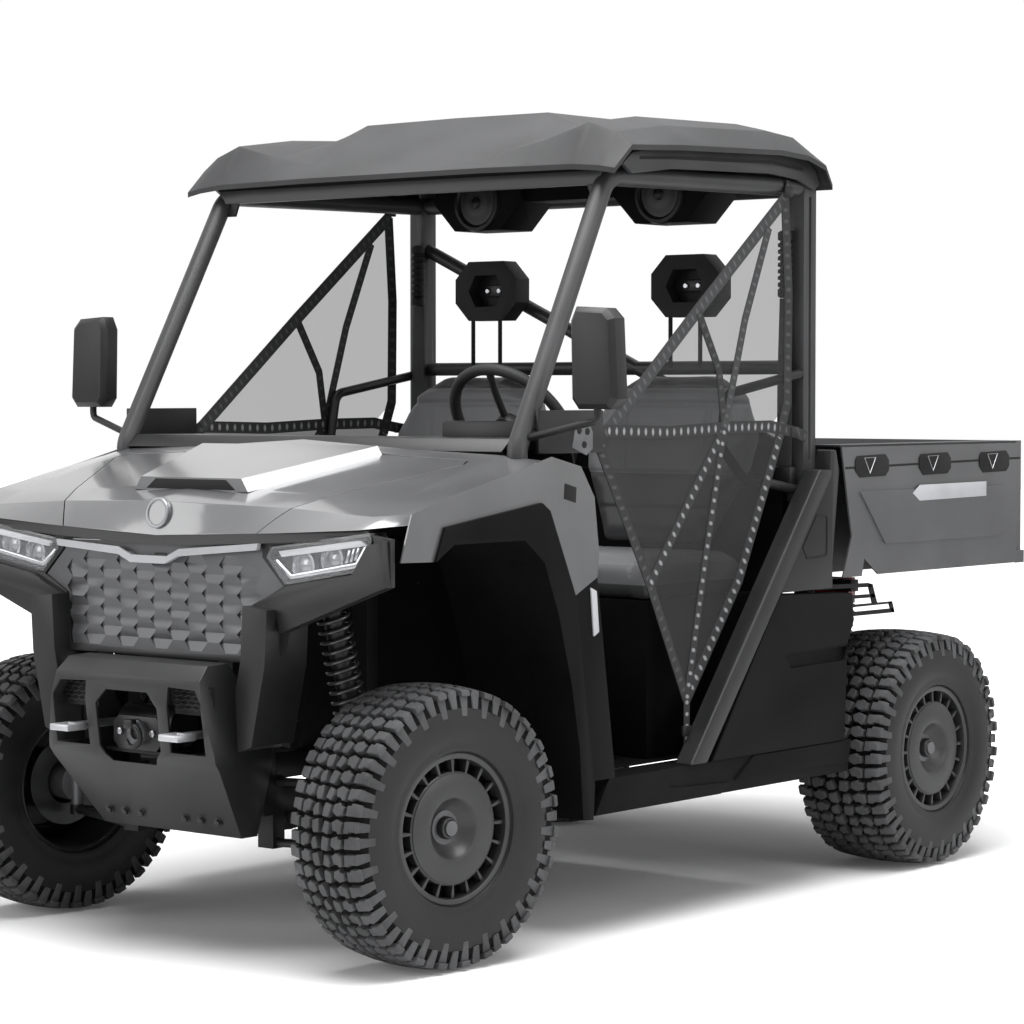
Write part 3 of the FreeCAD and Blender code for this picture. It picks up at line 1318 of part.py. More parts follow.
def seat_belts():
    """Belt sleeves on the rear pillars with the webbing that hangs from them."""
    sleeve = Part.makeCylinder(float(s.belt_radius), float(s.belt_top_z - s.belt_low_z),
                               vector(s.belt_x, behind(s.belt_y), s.belt_low_z))
    return feature("seat_belts", both_sides([sleeve]))


def restraint_bars():
    """Bent hip bars from the rear pillars round the outer shoulder of each seat."""
    face = behind(s.cage_rear_y) - s.pillar_deep * HALF
    rear = face + s.restraint_radius
    front = behind(s.restraint_front_y)
    x = s.restraint_x
    top = s.restraint_top_z
    low = s.restraint_low_z
    points = [vector(x, rear, top), vector(x, front, between(low, top, 0.82)),
              vector(x, front - s.restraint_radius * 2, between(low, top, 0.4)),
              vector(x, between(front, rear, 0.2), between(low, top, 0.14)), vector(x, rear, low)]
    bar = bent_tube(points, s.restraint_radius * 3, s.restraint_radius)
    pillar = block(s.sill_inner_x, s.body_half, face, face + s.pillar_deep, s.pillar_end_z, s.cage_rear_z)
    return feature("restraint_bars", both_sides([bar.cut(pillar)]))


def mirrors():
    """Door mirrors on arms from the front posts."""
    x = s.mirror_x
    y = behind(s.mirror_y)
    shell = outline(MIRROR_SHARES, x - s.mirror_half, x + s.mirror_half, s.mirror_low_z, s.mirror_top_z)
    front = y - s.mirror_deep * HALF
    corners = [vector(u, front, v) for u, v in shell]
    head = Part.Face(Part.makePolygon(corners + corners[:1])).extrude(vector(ZERO, s.mirror_deep, ZERO))
    rim_edges = [edge for edge in head.Edges if all(abs(end.Point.y - float(front)) < float(s.panel_gap)
                                                    for end in edge.Vertexes)]
    head = head.makeChamfer(float(s.mirror_bevel), rim_edges)
    elbow = vector(x, y, s.mirror_low_z - s.mirror_arm_radius * 3)
    foot, top = cage_points()[2:4]
    root = foot + (top - foot) * 0.06
    arm = bent_tube([vector(x, y, s.mirror_low_z), elbow, root], s.mirror_arm_radius * 2, s.mirror_arm_radius)
    return feature("mirrors", both_sides([head.fuse(arm).cut(tube(foot, top, s.cage_tube_radius))]))


def net_brackets():
    """Bracket plates behind the front posts that carry the nets."""
    body = new_body("net_bracket_left")
    inner = s.cage_foot_x + s.cage_tube_radius
    points = rectangle(behind(s.cage_foot_y) + s.bracket_thick * 4, behind(s.net_front_y), s.bracket_low_z,
                       s.bracket_top_z)
    side_pad(body, points, inner, inner + s.bracket_thick)
    return pair("net_brackets", body)


def rear_lower_panels():
    """Black lower body sides behind the doors."""
    body = new_body("rear_lower_left")
    points = outline(REAR_LOWER_SHARES, behind(s.rear_low_front_y), behind(s.rear_low_rear_y),
                     frame_top, s.rear_low_top_z)
    side_pad(body, points, s.body_half - s.rear_panel_depth, s.body_half)
    recess = outline(REAR_RECESS_SHARES, behind(s.rear_low_front_y), behind(s.rear_low_rear_y), frame_top,
                     s.rear_low_top_z)
    side_pocket(body, recess, s.body_half - s.rear_recess_deep, s.body_half)
    return pair("rear_lower_panels", body)


def rear_upper_panels():
    """Upper body sides between the door strut and the bed."""
    body = new_body("rear_upper_left")
    points = outline(REAR_UPPER_SHARES, behind(s.rear_up_front_y), behind(s.rear_up_rear_y),
                     s.rear_up_low_z, s.rear_up_top_z)
    side_pad(body, points, s.strut_inner_x, s.body_half)
    return pair("rear_upper_panels", body)


def bed_tub():
    """Load bed: ribbed floor, front wall, side walls and box rails in one sheet."""
    body = new_body("bed_tub")
    sheet = s.bed_sheet
    half = [(ZERO, s.bed_floor_z - sheet), (s.bed_inner_half + sheet, s.bed_floor_z - sheet),
            (s.bed_inner_half + sheet, s.bed_rail_z - sheet), (s.body_half, s.bed_rail_z - sheet),
            (s.body_half, s.bed_rail_z), (s.bed_inner_half, s.bed_rail_z), (s.bed_inner_half, s.bed_floor_z),
            (ZERO, s.bed_floor_z)]
    other = [(-x, z) for x, z in reversed(half[1:-1])]
    rear = behind(s.bed_rear_y)
    front = behind(s.bed_front_y)
    front_pad(body, half + other, front, rear)
    wall = [(-s.bed_inner_half, s.bed_floor_z), (s.bed_inner_half, s.bed_floor_z),
            (s.bed_inner_half, s.bed_rail_z), (-s.bed_inner_half, s.bed_rail_z)]
    front_pad(body, wall, front, front + sheet)
    rail_inner = s.frame_half - s.frame_rail
    for side in BOTH_SIDES:
        low = rail_inner if side > 0 else -s.frame_half + s.bed_rib * HALF
        high = s.frame_half - s.bed_rib * HALF if side > 0 else -rail_inner
        tail = behind(s.bed_hinge_y) + s.bed_runner_tail
        nose = behind(s.rear_truss_front_y) + s.bed_rib * 3
        runner = [(nose, s.bed_runner_z), (tail - s.bed_pin_radius, s.bed_runner_z),
                  (tail, s.bed_runner_z + s.bed_pin_radius), (tail, s.bed_floor_z - sheet),
                  (nose, s.bed_floor_z - sheet)]
        side_pad(body, runner, low, high)
        bore = add_circle(body, "YZ_Plane", (behind(s.bed_hinge_y), s.bed_hinge_z),
                          s.bed_pin_radius + s.bed_pin_clearance, high + s.bed_rib)
        add_feature(body, "Pocket", bore, s.frame_rail + s.bed_rib * 2)
    return body


def bed_side_panels():
    """Outer bed sides below the rails."""
    body = new_body("bed_side_left")
    points = outline(BED_SIDE_SHARES, behind(s.bed_front_y) + s.bed_rib * HALF, behind(s.bed_rear_y),
                     s.bed_side_low_z, s.bed_rail_z - s.bed_sheet)
    inner = s.body_half - s.bed_sheet
    side_pad(body, points, inner, s.body_half)
    front = behind(s.bed_front_y)
    rear = behind(s.bed_rear_y)
    raised = outline(BED_RAISED_SHARES, front, rear, s.bed_side_low_z, s.bed_rail_z)
    side_pad(body, raised, s.body_half - s.bed_sheet * HALF, s.body_half + s.bed_raised)
    for share in TIE_DOWN_SHARES:
        middle = between(front, rear, share)
        side_pocket(body, rectangle(middle - s.tie_down_half, middle + s.tie_down_half, s.tie_down_low_z,
                                    s.tie_down_high_z), s.body_half - s.tie_down_deep, s.body_half)
    end = rear + s.tailgate_clear + s.tailgate_thick
    side_pad(body, rectangle(rear, end, s.bed_side_low_z, s.tailgate_hinge_z + s.tailgate_thick * HALF), inner,
             s.body_half)
    centre = (rear + s.tailgate_clear + s.tailgate_thick * HALF, s.tailgate_hinge_z)
    pin_length = s.tailgate_pin_length - s.tailgate_side_clear
    pin = add_circle(body, "YZ_Plane", centre, s.tailgate_pin_radius, inner - pin_length)
    add_feature(body, "Pad", pin, pin_length)
    return pair("bed_side_panels", body)


def tailgate():
    """Drop-down gate across the rear of the bed, bored at its lower corners for its pins."""
    body = new_body("tailgate")
    front = behind(s.bed_rear_y) + s.tailgate_clear
    rear = front + s.tailgate_thick
    half = s.body_half - s.bed_sheet - s.tailgate_side_clear
    low = s.bed_side_low_z
    cut = s.tailgate_chamfer
    points = [(front, low + cut * 2), (front + cut, low), (rear - cut, low), (rear, low + cut * 2),
              (rear, s.bed_rail_z), (front, s.bed_rail_z)]
    wide_pad(body, points, half)
    centre = ((front + rear) * HALF, s.tailgate_hinge_z)
    radius = s.tailgate_pin_radius + s.tailgate_pin_clearance
    for top in (half, -half + s.tailgate_pin_length):
        bore = add_circle(body, "YZ_Plane", centre, radius, top)
        add_feature(body, "Pocket", bore, s.tailgate_pin_length)
    return body


def rim_profile(half_width):
    """Half section of a wheel, as (axial, radial) points."""
    bead = s.rim_radius
    face = half_width - s.rim_inset
    plate = s.rim_plate
    bore = s.spindle_radius + s.hub_clearance
    barrel = half_width - s.rim_inset
    return [(-barrel, bead - plate), (-barrel, bead + s.rim_flange), (-barrel + plate, bead + s.rim_flange),
            (-barrel + plate, bead), (barrel - plate, bead), (barrel - plate, bead + s.rim_flange),
            (barrel, bead + s.rim_flange), (face + plate, bead - plate), (face + plate, s.hub_radius * 2),
            (face - plate * 2, s.hub_radius), (face + plate, s.hub_radius * HALF), (face + plate, ZERO),
            (face - plate, ZERO), (face - plate, bore), (face - plate * 5, bore),
            (face - plate * 5, s.hub_radius), (face - plate * 3, s.hub_radius * 1.3),
            (face - plate, s.hub_radius * 2.1), (face - plate, bead - plate)]


def place_wheel(item, side, wheel_y, steer):
    """Set a wheel on its axle, the dished face outwards, turned about the kingpin."""
    reach = s.track_half - s.kingpin_x
    turn = math.radians(float(steer))
    item.setExpression("Placement.Base.x", (s.kingpin_x * side + reach * side * math.cos(turn)).text)
    item.setExpression("Placement.Base.y", (behind(wheel_y) - reach * side * math.sin(turn)).text)
    item.setExpression("Placement.Base.z", s.tyre_radius.text)
    facing = 0 if side > 0 else 180
    heading = FreeCAD.Rotation(FreeCAD.Vector(0, 0, 1), facing - float(steer))
    item.Placement = FreeCAD.Placement(item.Placement.Base, heading)
    return item


def rim(label, side, wheel_y, half_width, steer):
    """Dished steel wheel with its barrel."""
    body = new_body(label)
    sketch = add_sketch(body, "XY_Plane", rim_profile(half_width))
    turn = body.newObject("PartDesign::Revolution", label + "_turn")
    turn.Profile = sketch
    turn.ReferenceAxis = (sketch, ["H_Axis"])
    turn.Angle = 360
    face = half_width - s.rim_inset
    opening = rectangle(s.rim_slot_low, s.rim_slot_high, -s.rim_slot_half, s.rim_slot_half)
    slot = add_feature(body, "Pocket", add_sketch(body, "YZ_Plane", opening, face + s.rim_plate * 2),
                       s.rim_plate * 4)
    pattern = body.newObject("PartDesign::PolarPattern", label + "_slots")
    pattern.Originals = [slot]
    pattern.Axis = (next(item for item in body.Origin.OriginFeatures if item.Role == "X_Axis"), [""])
    pattern.Angle = 360
    pattern.Occurrences = RIM_SLOTS
    body.Tip = pattern
    return place_wheel(body, side, wheel_y, steer)


LUG_COUNT = 16
LUG_SHARES = [(0.02, 0), (0.1, 1), (0.56, 1), (0.66, 0)]
LUG_BANDS = [(-0.93, -0.36, 0.0), (-0.26, 0.26, 0.32), (0.36, 0.93, 0.0)]


def tyre_ring(x, radius):
    """Corners of a regular polygon across the axle, with one side for each lug."""
    corners = []
    for side in range(LUG_COUNT):
        angle = 2 * math.pi * side / LUG_COUNT
        corners.append(vector(x, float(radius) * math.cos(angle), float(radius) * math.sin(angle)))
    return corners


def lug(half_width, root, band, number):
    """One tread block, as wide as its band and leaning in to its root."""
    low, high, phase = band
    corners = []
    for share, raised in LUG_SHARES:
        angle = 2 * math.pi * (number + phase + share) / LUG_COUNT
        radius = float(s.tyre_radius) if raised else float(root)
        corners.append(vector(half_width * low, radius * math.cos(angle), radius * math.sin(angle)))
    face = Part.Face(Part.makePolygon(corners + corners[:1]))
    return face.extrude(vector(half_width * (high - low), ZERO, ZERO))


def tyre_shape(half_width):
    """Flat-sided casing round its bore, with three staggered bands of tread blocks."""
    root = s.tyre_radius - s.lug_depth
    flange = s.rim_radius + s.rim_flange + s.lug_depth
    barrel = half_width - s.rim_inset
    inner = barrel - s.rim_plate - s.seat_gap
    bead = (s.rim_radius + s.seat_gap) * (1 / math.cos(math.pi / LUG_COUNT))
    half = [(inner, bead), (inner, flange), (barrel * 1.1, flange + s.rim_plate),
            (half_width, s.tyre_radius * 0.75), (half_width * 0.96, s.tyre_radius * 0.88),
            (half_width * 0.84, root)]
    rings = [tyre_ring(-x, radius) for x, radius in half]
    rings.extend([tyre_ring(x, radius) for x, radius in reversed(half)])
    faces = []
    for ring, following in zip(rings, rings[1:] + rings[:1]):
        for side in range(LUG_COUNT):
            corners = [ring[side - 1], ring[side], following[side], following[side - 1]]
            faces.append(Part.Face(Part.makePolygon(corners + corners[:1])))
    casing = Part.makeSolid(Part.makeShell(faces))
    blocks = [lug(half_width, root - s.lug_depth * 2, band, number)
              for band in LUG_BANDS for number in range(LUG_COUNT)]
    return casing.fuse(blocks).removeSplitter()


def tyre(label, shape, side, wheel_y, steer):
    """Tyre on its wheel."""
    return place_wheel(feature(label, shape), side, wheel_y, steer)


def upright(side, axle_y, half_width, clearance):
    """Round upright between the two wishbones with the hub that carries the wheel."""
    x = s.kingpin_x * side
    z = s.tyre_radius
    low = s.arm_low_z2 + s.arm_section * HALF + clearance
    high = s.arm_high_z - s.arm_section * HALF - clearance
    post = tube(vector(x, axle_y, low), vector(x, axle_y, high), s.knuckle_post * HALF)
    face = s.track_half - s.kingpin_x + half_width - s.rim_inset
    shoulder = face - s.rim_plate * 5 - s.seat_gap
    hub = tube(vector(x, axle_y, z), vector(x + shoulder * side, axle_y, z), s.hub_radius)
    tip = face - s.rim_plate - s.seat_gap
    spindle = tube(vector(x, axle_y, z), vector(x + tip * side, axle_y, z), s.spindle_radius)
    return post.fuse([hub, spindle])


def knuckle(label, side):
    """Front steering knuckle, turned with its wheel to the rest angle."""
    shape = upright(side, ZERO + front_axle, s.front_tyre_half, s.kingpin_clearance)
    shape.rotate(vector(s.kingpin_x * side, front_axle, ZERO), FreeCAD.Vector(0, 0, 1), -float(s.steer_rest))
    return feature(label, shape)


def rear_hub_carriers():
    """Fixed rear hub carriers between the rear wishbones."""
    shape = upright(1, behind(s.wheel_base), s.rear_tyre_half, ZERO)
    return feature("rear_hub_carriers", both_sides([shape]))


def wishbones(axle_y):
    """Upper and lower wishbone of one left corner, with round eyes at the upright."""
    arms = []
    for z in (s.arm_low_z2, s.arm_high_z):
        outer = vector(s.kingpin_x, axle_y, z)
        half = s.arm_section * HALF
        eye = tube(outer - vector(ZERO, ZERO, half), outer + vector(ZERO, ZERO, half), s.knuckle_post * HALF)
        frame_side = block(ZERO, s.frame_half, axle_y - s.arm_pivot_spread, axle_y + s.arm_pivot_spread,
                           z - s.arm_section, z + s.arm_section)
        legs = []
        for side in BOTH_SIDES:
            inner = vector(s.frame_half, axle_y + s.arm_pivot_spread * HALF * side, z)
            root = inner - (outer - inner).normalize() * float(half)
            legs.append(tube(root, outer, half * 0.8))
        arms.append(eye.fuse(legs).cut(frame_side))
    return arms


def suspension_links():
    """Upper and lower wishbones at all four corners."""
    shapes = wishbones(ZERO + front_axle) + wishbones(behind(s.wheel_base))
    return feature("suspension_links", both_sides(shapes))


def shock_absorbers():
    """Coil-over dampers from the lower wishbones up to the brackets on the trusses."""
    shapes = []
    corners = ((ZERO + front_axle, -1, s.shock_top_z), (behind(s.wheel_base), 1, s.shock_rear_top_z))
    for axle_y, lean, top_z in corners:
        low = vector(s.shock_low_x, axle_y - s.shock_foot * lean, s.arm_low_z2)
        top = vector(s.shock_top_x, axle_y + s.shock_lean * lean, top_z)
        rod = tube(low, top, s.shock_rod_radius)
        coil = tube(low + (top - low) * 0.42, low + (top - low) * 0.97, s.shock_radius)
        tower = block(ZERO, s.body_half, axle_y - s.wheel_base * HALF, axle_y + s.wheel_base * HALF, top_z,
                      top_z + s.tower_height)
        damper = rod.fuse(coil).removeSplitter().cut([tower] + wishbones(axle_y))
        shapes.append(max(damper.Solids, key=lambda solid: solid.Volume))
    return feature("shock_absorbers", both_sides(shapes))


def drive_shafts():
    """Half shafts from the gearboxes up to the hubs."""
    shapes = []
    for axle_y, inner in ((ZERO + front_axle, s.diff_half), (behind(s.wheel_base), s.drive_half)):
        start = vector(inner, axle_y, s.tyre_radius - s.axle_drop)
        end = vector(s.kingpin_x - s.knuckle_post * HALF - s.panel_gap, axle_y, s.tyre_radius)
        shaft = tube(start - (end - start).normalize() * float(s.axle_radius), end, s.axle_radius)
        housing = block(ZERO, inner, axle_y - s.axle_radius * 2, axle_y + s.axle_radius * 2,
                        s.arm_low_z2, s.arm_high_z)
        shapes.append(shaft.cut(housing))
    return feature("drive_shafts", both_sides(shapes))


def hitch_receiver():
    """Square hitch receiver tube welded under the rear crossmember."""
    body = new_body("hitch_receiver")
    outer = s.receiver_side * HALF
    inner = s.receiver_bore * HALF
    front = behind(s.frame_rear_y)
    rear = behind(s.receiver_rear_y)
    front_pad(body, rectangle(-outer, outer, s.receiver_z - outer, s.receiver_z + outer), front, rear)
    socket = rectangle(-inner, inner, s.receiver_z - inner, s.receiver_z + inner)
    front_pocket(body, socket, front + s.bumper_wall, rear)
    hole = add_circle(body, "YZ_Plane", (rear - s.receiver_pin_back, s.receiver_z), s.receiver_pin_radius, outer)
    add_feature(body, "Pocket", hole, outer * 2)
    return body


def tail_lamps():
    """Tail lamps under the rear corners of the bed."""
    body = new_body("tail_lamp_left")
    rear = behind(s.frame_rear_y) + s.cut_overrun
    inner = s.frame_half + s.bed_bracket
    points = rectangle(inner, inner + s.tail_lamp_half * 2, s.tail_lamp_low_z,
                       s.tail_lamp_low_z + s.tail_lamp_height)
    front_pad(body, points, rear - s.cut_overrun * 2, rear)
    return pair("tail_lamps", body)


def build():
    """Make every sub-part, bodies first along the vehicle from the frame outwards."""
    parts = [chassis_frame(), floor_tub(), seat_base(), battery_pack(), drive_units(), rocker_panels()]
    parts.extend(bonnet_and_wings())
    parts.extend([wheel_arch_flares(), wheel_liners(), front_panel(), grille(), headlamps(),
                  front_bumper(), winch(), tow_hooks(), dashboard(), steering_column(),
                  steering_wheel(), roll_cage(), door_struts(), roof(), speaker_pods(),
                  seat_cushions(), seat_backs(), headrests(), side_nets(), seat_belts(),
                  restraint_bars(), mirrors(), net_brackets(), rear_lower_panels(),
                  rear_upper_panels(), bed_tub(), bed_side_panels(), tailgate(),
                  rear_hub_carriers(), suspension_links(), shock_absorbers(), drive_shafts(),
                  hitch_receiver(), tail_lamps()])
    front_tyre = tyre_shape(s.front_tyre_half)
    rear_tyre = tyre_shape(s.rear_tyre_half)
    for place, side in (("left", 1), ("right", -1)):
        parts.append(knuckle("knuckle_" + place, side))
        parts.append(rim("rim_front_" + place, side, ZERO, s.front_tyre_half, s.steer_rest))
        parts.append(tyre("tyre_front_" + place, front_tyre, side, ZERO, s.steer_rest))
        parts.append(rim("rim_rear_" + place, side, s.wheel_base, s.rear_tyre_half, ZERO))
        parts.append(tyre("tyre_rear_" + place, rear_tyre, side, s.wheel_base, ZERO))
    return parts


def check(parts):
    """Stop if any object failed or any sub-part has no sound shape."""
    for item in doc.Objects:
        if "Invalid" in item.State or "Error" in item.State:
            raise RuntimeError(item.Label + " failed: " + str(item.State))
    for item in parts:
        if item.Shape.isNull() or not item.Shape.isValid() or item.Shape.Volume <= 0:
            raise RuntimeError(item.Label + " has no sound shape")


def export(parts):
    """Write one file for each sub-part."""
    os.makedirs("parts", exist_ok=True)
    for item in parts:
        item.Shape.exportStep("parts/" + item.Label + ".step")


sub_parts = build()
doc.recompute()
check(sub_parts)
export(sub_parts)
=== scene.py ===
import bpy
import bmesh
import math
from mathutils import Euler, Matrix, Vector


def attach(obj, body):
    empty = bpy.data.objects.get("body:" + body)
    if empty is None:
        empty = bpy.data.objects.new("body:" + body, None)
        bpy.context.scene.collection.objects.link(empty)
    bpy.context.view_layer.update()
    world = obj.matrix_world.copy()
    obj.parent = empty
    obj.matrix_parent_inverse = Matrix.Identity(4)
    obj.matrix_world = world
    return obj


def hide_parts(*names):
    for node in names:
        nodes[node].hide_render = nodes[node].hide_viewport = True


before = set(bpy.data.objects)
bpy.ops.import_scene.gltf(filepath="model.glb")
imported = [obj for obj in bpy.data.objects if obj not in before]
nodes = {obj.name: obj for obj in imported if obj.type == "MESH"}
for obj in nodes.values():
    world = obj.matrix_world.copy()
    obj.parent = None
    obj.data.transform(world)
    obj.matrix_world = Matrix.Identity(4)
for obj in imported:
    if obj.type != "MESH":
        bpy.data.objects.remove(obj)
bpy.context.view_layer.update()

# Studio: a white sweep under the vehicle, soft boxes above and beside it, and the camera
# on the vehicle's left front, a little above the bonnet.
camera_data = bpy.data.cameras.new("camera")
camera_data.lens = 106.83
camera_data.sensor_width = 36
camera = bpy.data.objects.new("camera", camera_data)
camera.location = (5.2317, -6.4099, 1.3362)
camera.rotation_euler = Euler((math.radians(90 - 2.28), 0, math.radians(39.19)))
bpy.context.collection.objects.link(camera)
bpy.context.scene.camera = camera
bpy.context.scene.view_settings.view_transform = "Standard"


def soft_box(name, place, aim, size, power):
    """A rectangular area lamp that faces a point."""
    lamp = bpy.data.lights.new(name, "AREA")
    lamp.shape = "RECTANGLE"
    lamp.size, lamp.size_y = size
    lamp.energy = power
    lamp_object = bpy.data.objects.new(name, lamp)
    lamp_object.location = place
    lamp_object.rotation_euler = (Vector(aim) - Vector(place)).to_track_quat("-Z", "Y").to_euler()
    bpy.context.collection.objects.link(lamp_object)


soft_box("top_light", (0.6, -0.8, 5.2), (0, 0, 0.8), (5.0, 5.0), 580)
soft_box("side_light", (6.0, 0.5, 2.6), (0, 0.2, 0.9), (3.5, 3.0), 80)
soft_box("front_light", (-3.6, -5.6, 2.6), (0, -0.8, 0.9), (3.0, 3.0), 80)

def fill(target, **values):
    """Set a node's input values; an underscore in a name stands for a space."""
    for name, value in values.items():
        target.inputs[name.replace("_", " ")].default_value = value


def node(tree, kind, operation=None, **values):
    """A new shader node with its operation and its input values."""
    fresh = tree.nodes.new("ShaderNode" + kind)
    if operation:
        fresh.operation = operation
    fill(fresh, **values)
    return fresh


def wire(tree, *links):
    """Join nodes by links of a source, its output, a target and its input."""
    for source, output, target, entry in links:
        tree.links.new(source.outputs[output], target.inputs[entry])


def shader_of(finish):
    """The surface shader of a material."""
    return finish.node_tree.nodes["Principled BSDF"]


def blank(name):
    """A new material, with its node tree and its shader."""
    finish = bpy.data.materials.new(name)
    finish.use_nodes = True
    return finish, finish.node_tree, shader_of(finish)


world = bpy.data.worlds.new("studio")
bpy.context.scene.world = world
world.use_nodes = True
sky = world.node_tree
background = sky.nodes["Background"]
fill(background, Color=(1, 1, 1, 1))
paths = node(sky, "LightPath")
seen = node(sky, "Math", "MAXIMUM")
mirrored_too = node(sky, "Math", "MAXIMUM")
level = node(sky, "MapRange", To_Min=0.3, To_Max=1.0)
wire(sky, (paths, "Is Camera Ray", seen, 0), (paths, "Is Transmission Ray", seen, 1), (seen, 0, mirrored_too, 0),
    (paths, "Is Glossy Ray", mirrored_too, 1), (mirrored_too, 0, level, "Value"),
    (level, "Result", background, "Strength"))

bpy.ops.object.select_all(action="DESELECT")
bpy.ops.mesh.primitive_plane_add(size=60, location=(0, 0, 0))
floor = bpy.context.object
floor.name = "studio_floor"
sweep, tree, shader = blank("white_sweep")
fill(shader, Base_Color=(0.92, 0.92, 0.92, 1), Roughness=0.9, Emission_Color=(1, 1, 1, 1))
# For camera rays the floor also glows, faintly within about 0.7 m of the vehicle's middle and fully white beyond 2.6
# m. The floor near the vehicle is left dimmer than the rest: painted shade round the vehicle.
paths = node(tree, "LightPath")
where = node(tree, "TexCoord")
shape = node(tree, "Mapping", Scale=(1.0, 0.62, 1.0))
reach = node(tree, "VectorMath", "LENGTH")
fade = node(tree, "MapRange", From_Min=0.7, From_Max=2.6, To_Min=0.02, To_Max=1.0)
fade.interpolation_type = "SMOOTHSTEP"
glow = node(tree, "Math", "MULTIPLY")
wire(tree, (where, "Object", shape, "Vector"), (shape, "Vector", reach, 0), (reach, "Value", fade, "Value"),
    (fade, "Result", glow, 0), (paths, "Is Camera Ray", glow, 1), (glow, 0, shader, "Emission Strength"))
floor.data.materials.append(sweep)


# Ladder frame, trusses and winch tray: square steel tube, welded and powder coated black.
# The finish has a fine orange peel and a faint clouding.
def grey(level):
    """A neutral colour a touch cooler than grey, or the colour itself where one is given."""
    return level if isinstance(level, tuple) else (level, level * 1.01, level * 1.05)


def ramp(tree, *stops):
    """A colour ramp through stops of a place and a grey level or colour."""
    shades = node(tree, "ValToRGB")
    for number, (place, colour) in enumerate(stops):
        stops_now = shades.color_ramp.elements
        stop = stops_now[number] if number < 2 else stops_now.new(place)
        stop.position = place
        stop.color = (*grey(colour), 1)
    return shades


def coated(name, dark, light, rough, metal=0.0, grain=600, depth=0.0004, coat=0.0, shine=0.5):
    """A finish with clouded colour, uneven gloss and a fine grain."""
    finish, tree, shader = blank(name)
    fill(shader, Metallic=metal, Coat_Weight=coat, Coat_Roughness=0.06, Specular_IOR_Level=shine)
    where = node(tree, "TexCoord")
    cloud = node(tree, "TexNoise", Scale=5, Detail=6)
    shade = ramp(tree, (0.35, dark), (0.65, light))
    gloss = node(tree, "MapRange", To_Min=max(rough - 0.06, 0), To_Max=rough + 0.06)
    peel = node(tree, "TexNoise", Scale=grain, Detail=2)
    bump = node(tree, "Bump", Strength=0.5, Distance=depth)
    wire(tree, (where, "Object", cloud, "Vector"), (where, "Object", peel, "Vector"), (cloud, "Fac", shade, "Fac"),
        (shade, "Color", shader, "Base Color"), (cloud, "Fac", gloss, "Value"),
        (gloss, "Result", shader, "Roughness"), (peel, "Fac", bump, "Height"), (bump, "Normal", shader, "Normal"))
    return finish


def only(piece):
    """Select one piece alone and make it active."""
    bpy.ops.object.select_all(action="DESELECT")
    bpy.context.view_layer.objects.active = piece
    piece.select_set(True)


def edit_all(piece):
    """Open one piece in edit mode with everything selected."""
    only(piece)
    bpy.ops.object.mode_set(mode="EDIT")
    bpy.ops.mesh.select_mode(type="VERT")
    bpy.ops.mesh.select_all(action="SELECT")


def close_edit():
    """Leave edit mode."""
    bpy.ops.object.mode_set(mode="OBJECT")


def smooth(piece, angle):
    """Shade smooth except where faces meet at more than an angle."""
    only(piece)
    bpy.ops.object.shade_smooth_by_angle(angle=math.radians(angle))


def placed(name, data):
    """A new object at the world's origin that holds a mesh or a curve."""
    piece = bpy.data.objects.new(name, data)
    bpy.context.collection.objects.link(piece)
    return piece


def altered(piece, name, kind, **settings):
    """Add a modifier to the active piece, with its settings, and apply it."""
    change = piece.modifiers.new(name, kind)
    for word, value in settings.items():
        setattr(change, word, value)
    bpy.ops.object.modifier_apply(modifier=name)


def rounded(piece, width, angle, segments=2):
    """Round the edges of the active piece that are sharper than an angle."""
    altered(piece, "rounding", "BEVEL", width=width, segments=segments, limit_method="ANGLE",
        angle_limit=math.radians(angle), use_clamp_overlap=True)


def finished(piece, finish, angle=35, body="chassis"):
    """Give a piece its material, its soft shading and the body that it moves with."""
    smooth(piece, angle)
    piece.data.materials.clear()
    piece.data.materials.append(finish)
    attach(piece, body)
    return piece


def dressed(node_name, finish, edge=0.002, angle=28, body="chassis"):
    """A copy of a CAD node with its edges rounded, which stands for the node."""
    piece = placed(node_name + "_finished", nodes[node_name].data.copy())
    edit_all(piece)
    bpy.ops.mesh.remove_doubles(threshold=0.00002)
    bpy.ops.mesh.dissolve_limited(angle_limit=math.radians(0.6))
    close_edit()
    if edge:
        rounded(piece, edge, angle)
    finished(piece, finish, angle, body=body)
    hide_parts(node_name)
    return piece


both_sides = ((1, "left"), (-1, "right"))
front_axle = -1.0835
rear_axle = 0.9565
frame_coat = coated("frame_black_coat", 0.006, 0.012, 0.42, shine=0.2)
for name in ("chassis_frame", "hitch_receiver"):
    dressed(name, frame_coat)


# Battery case and drive units: a ribbed sheet case under the seats, and two cast housings on the
# axles, bolted between the frame rails.
case_paint = coated("case_grey", 0.1, 0.14, 0.5)
cast_metal = coated("cast_alloy", 0.1, 0.17, 0.45, metal=0.7, grain=900, depth=0.0008)
dressed("battery_pack", case_paint, edge=0.006)
dressed("drive_units", cast_metal, edge=0.008)


def cube(name, middle, size):
    """A plain block about its middle."""
    bpy.ops.object.select_all(action="DESELECT")
    bpy.ops.mesh.primitive_cube_add(size=1)
    piece = bpy.context.object
    piece.name = name
    piece.data.transform(Matrix.Translation(middle) @ Matrix.Diagonal((*size, 1)))
    return piece


def block(name, low, high, finish, edge=0.003, body="chassis"):
    """A block between two corners with its edges rounded."""
    size = [top - base for base, top in zip(low, high)]
    middle = [(top + base) / 2 for base, top in zip(low, high)]
    piece = cube(name, middle, size)
    edit_all(piece)
    bpy.ops.mesh.bevel(offset=edge, segments=2, affect="EDGES")
    close_edit()
    return finished(piece, finish, body=body)


def side_block(name, side, low, high, finish, edge=0.003):
    """A block on one side of the vehicle, between two corners given for the left side."""
    low_x, high_x = sorted((low[0] * side, high[0] * side))
    return block(name, (low_x, *low[1:]), (high_x, *high[1:]), finish, edge)


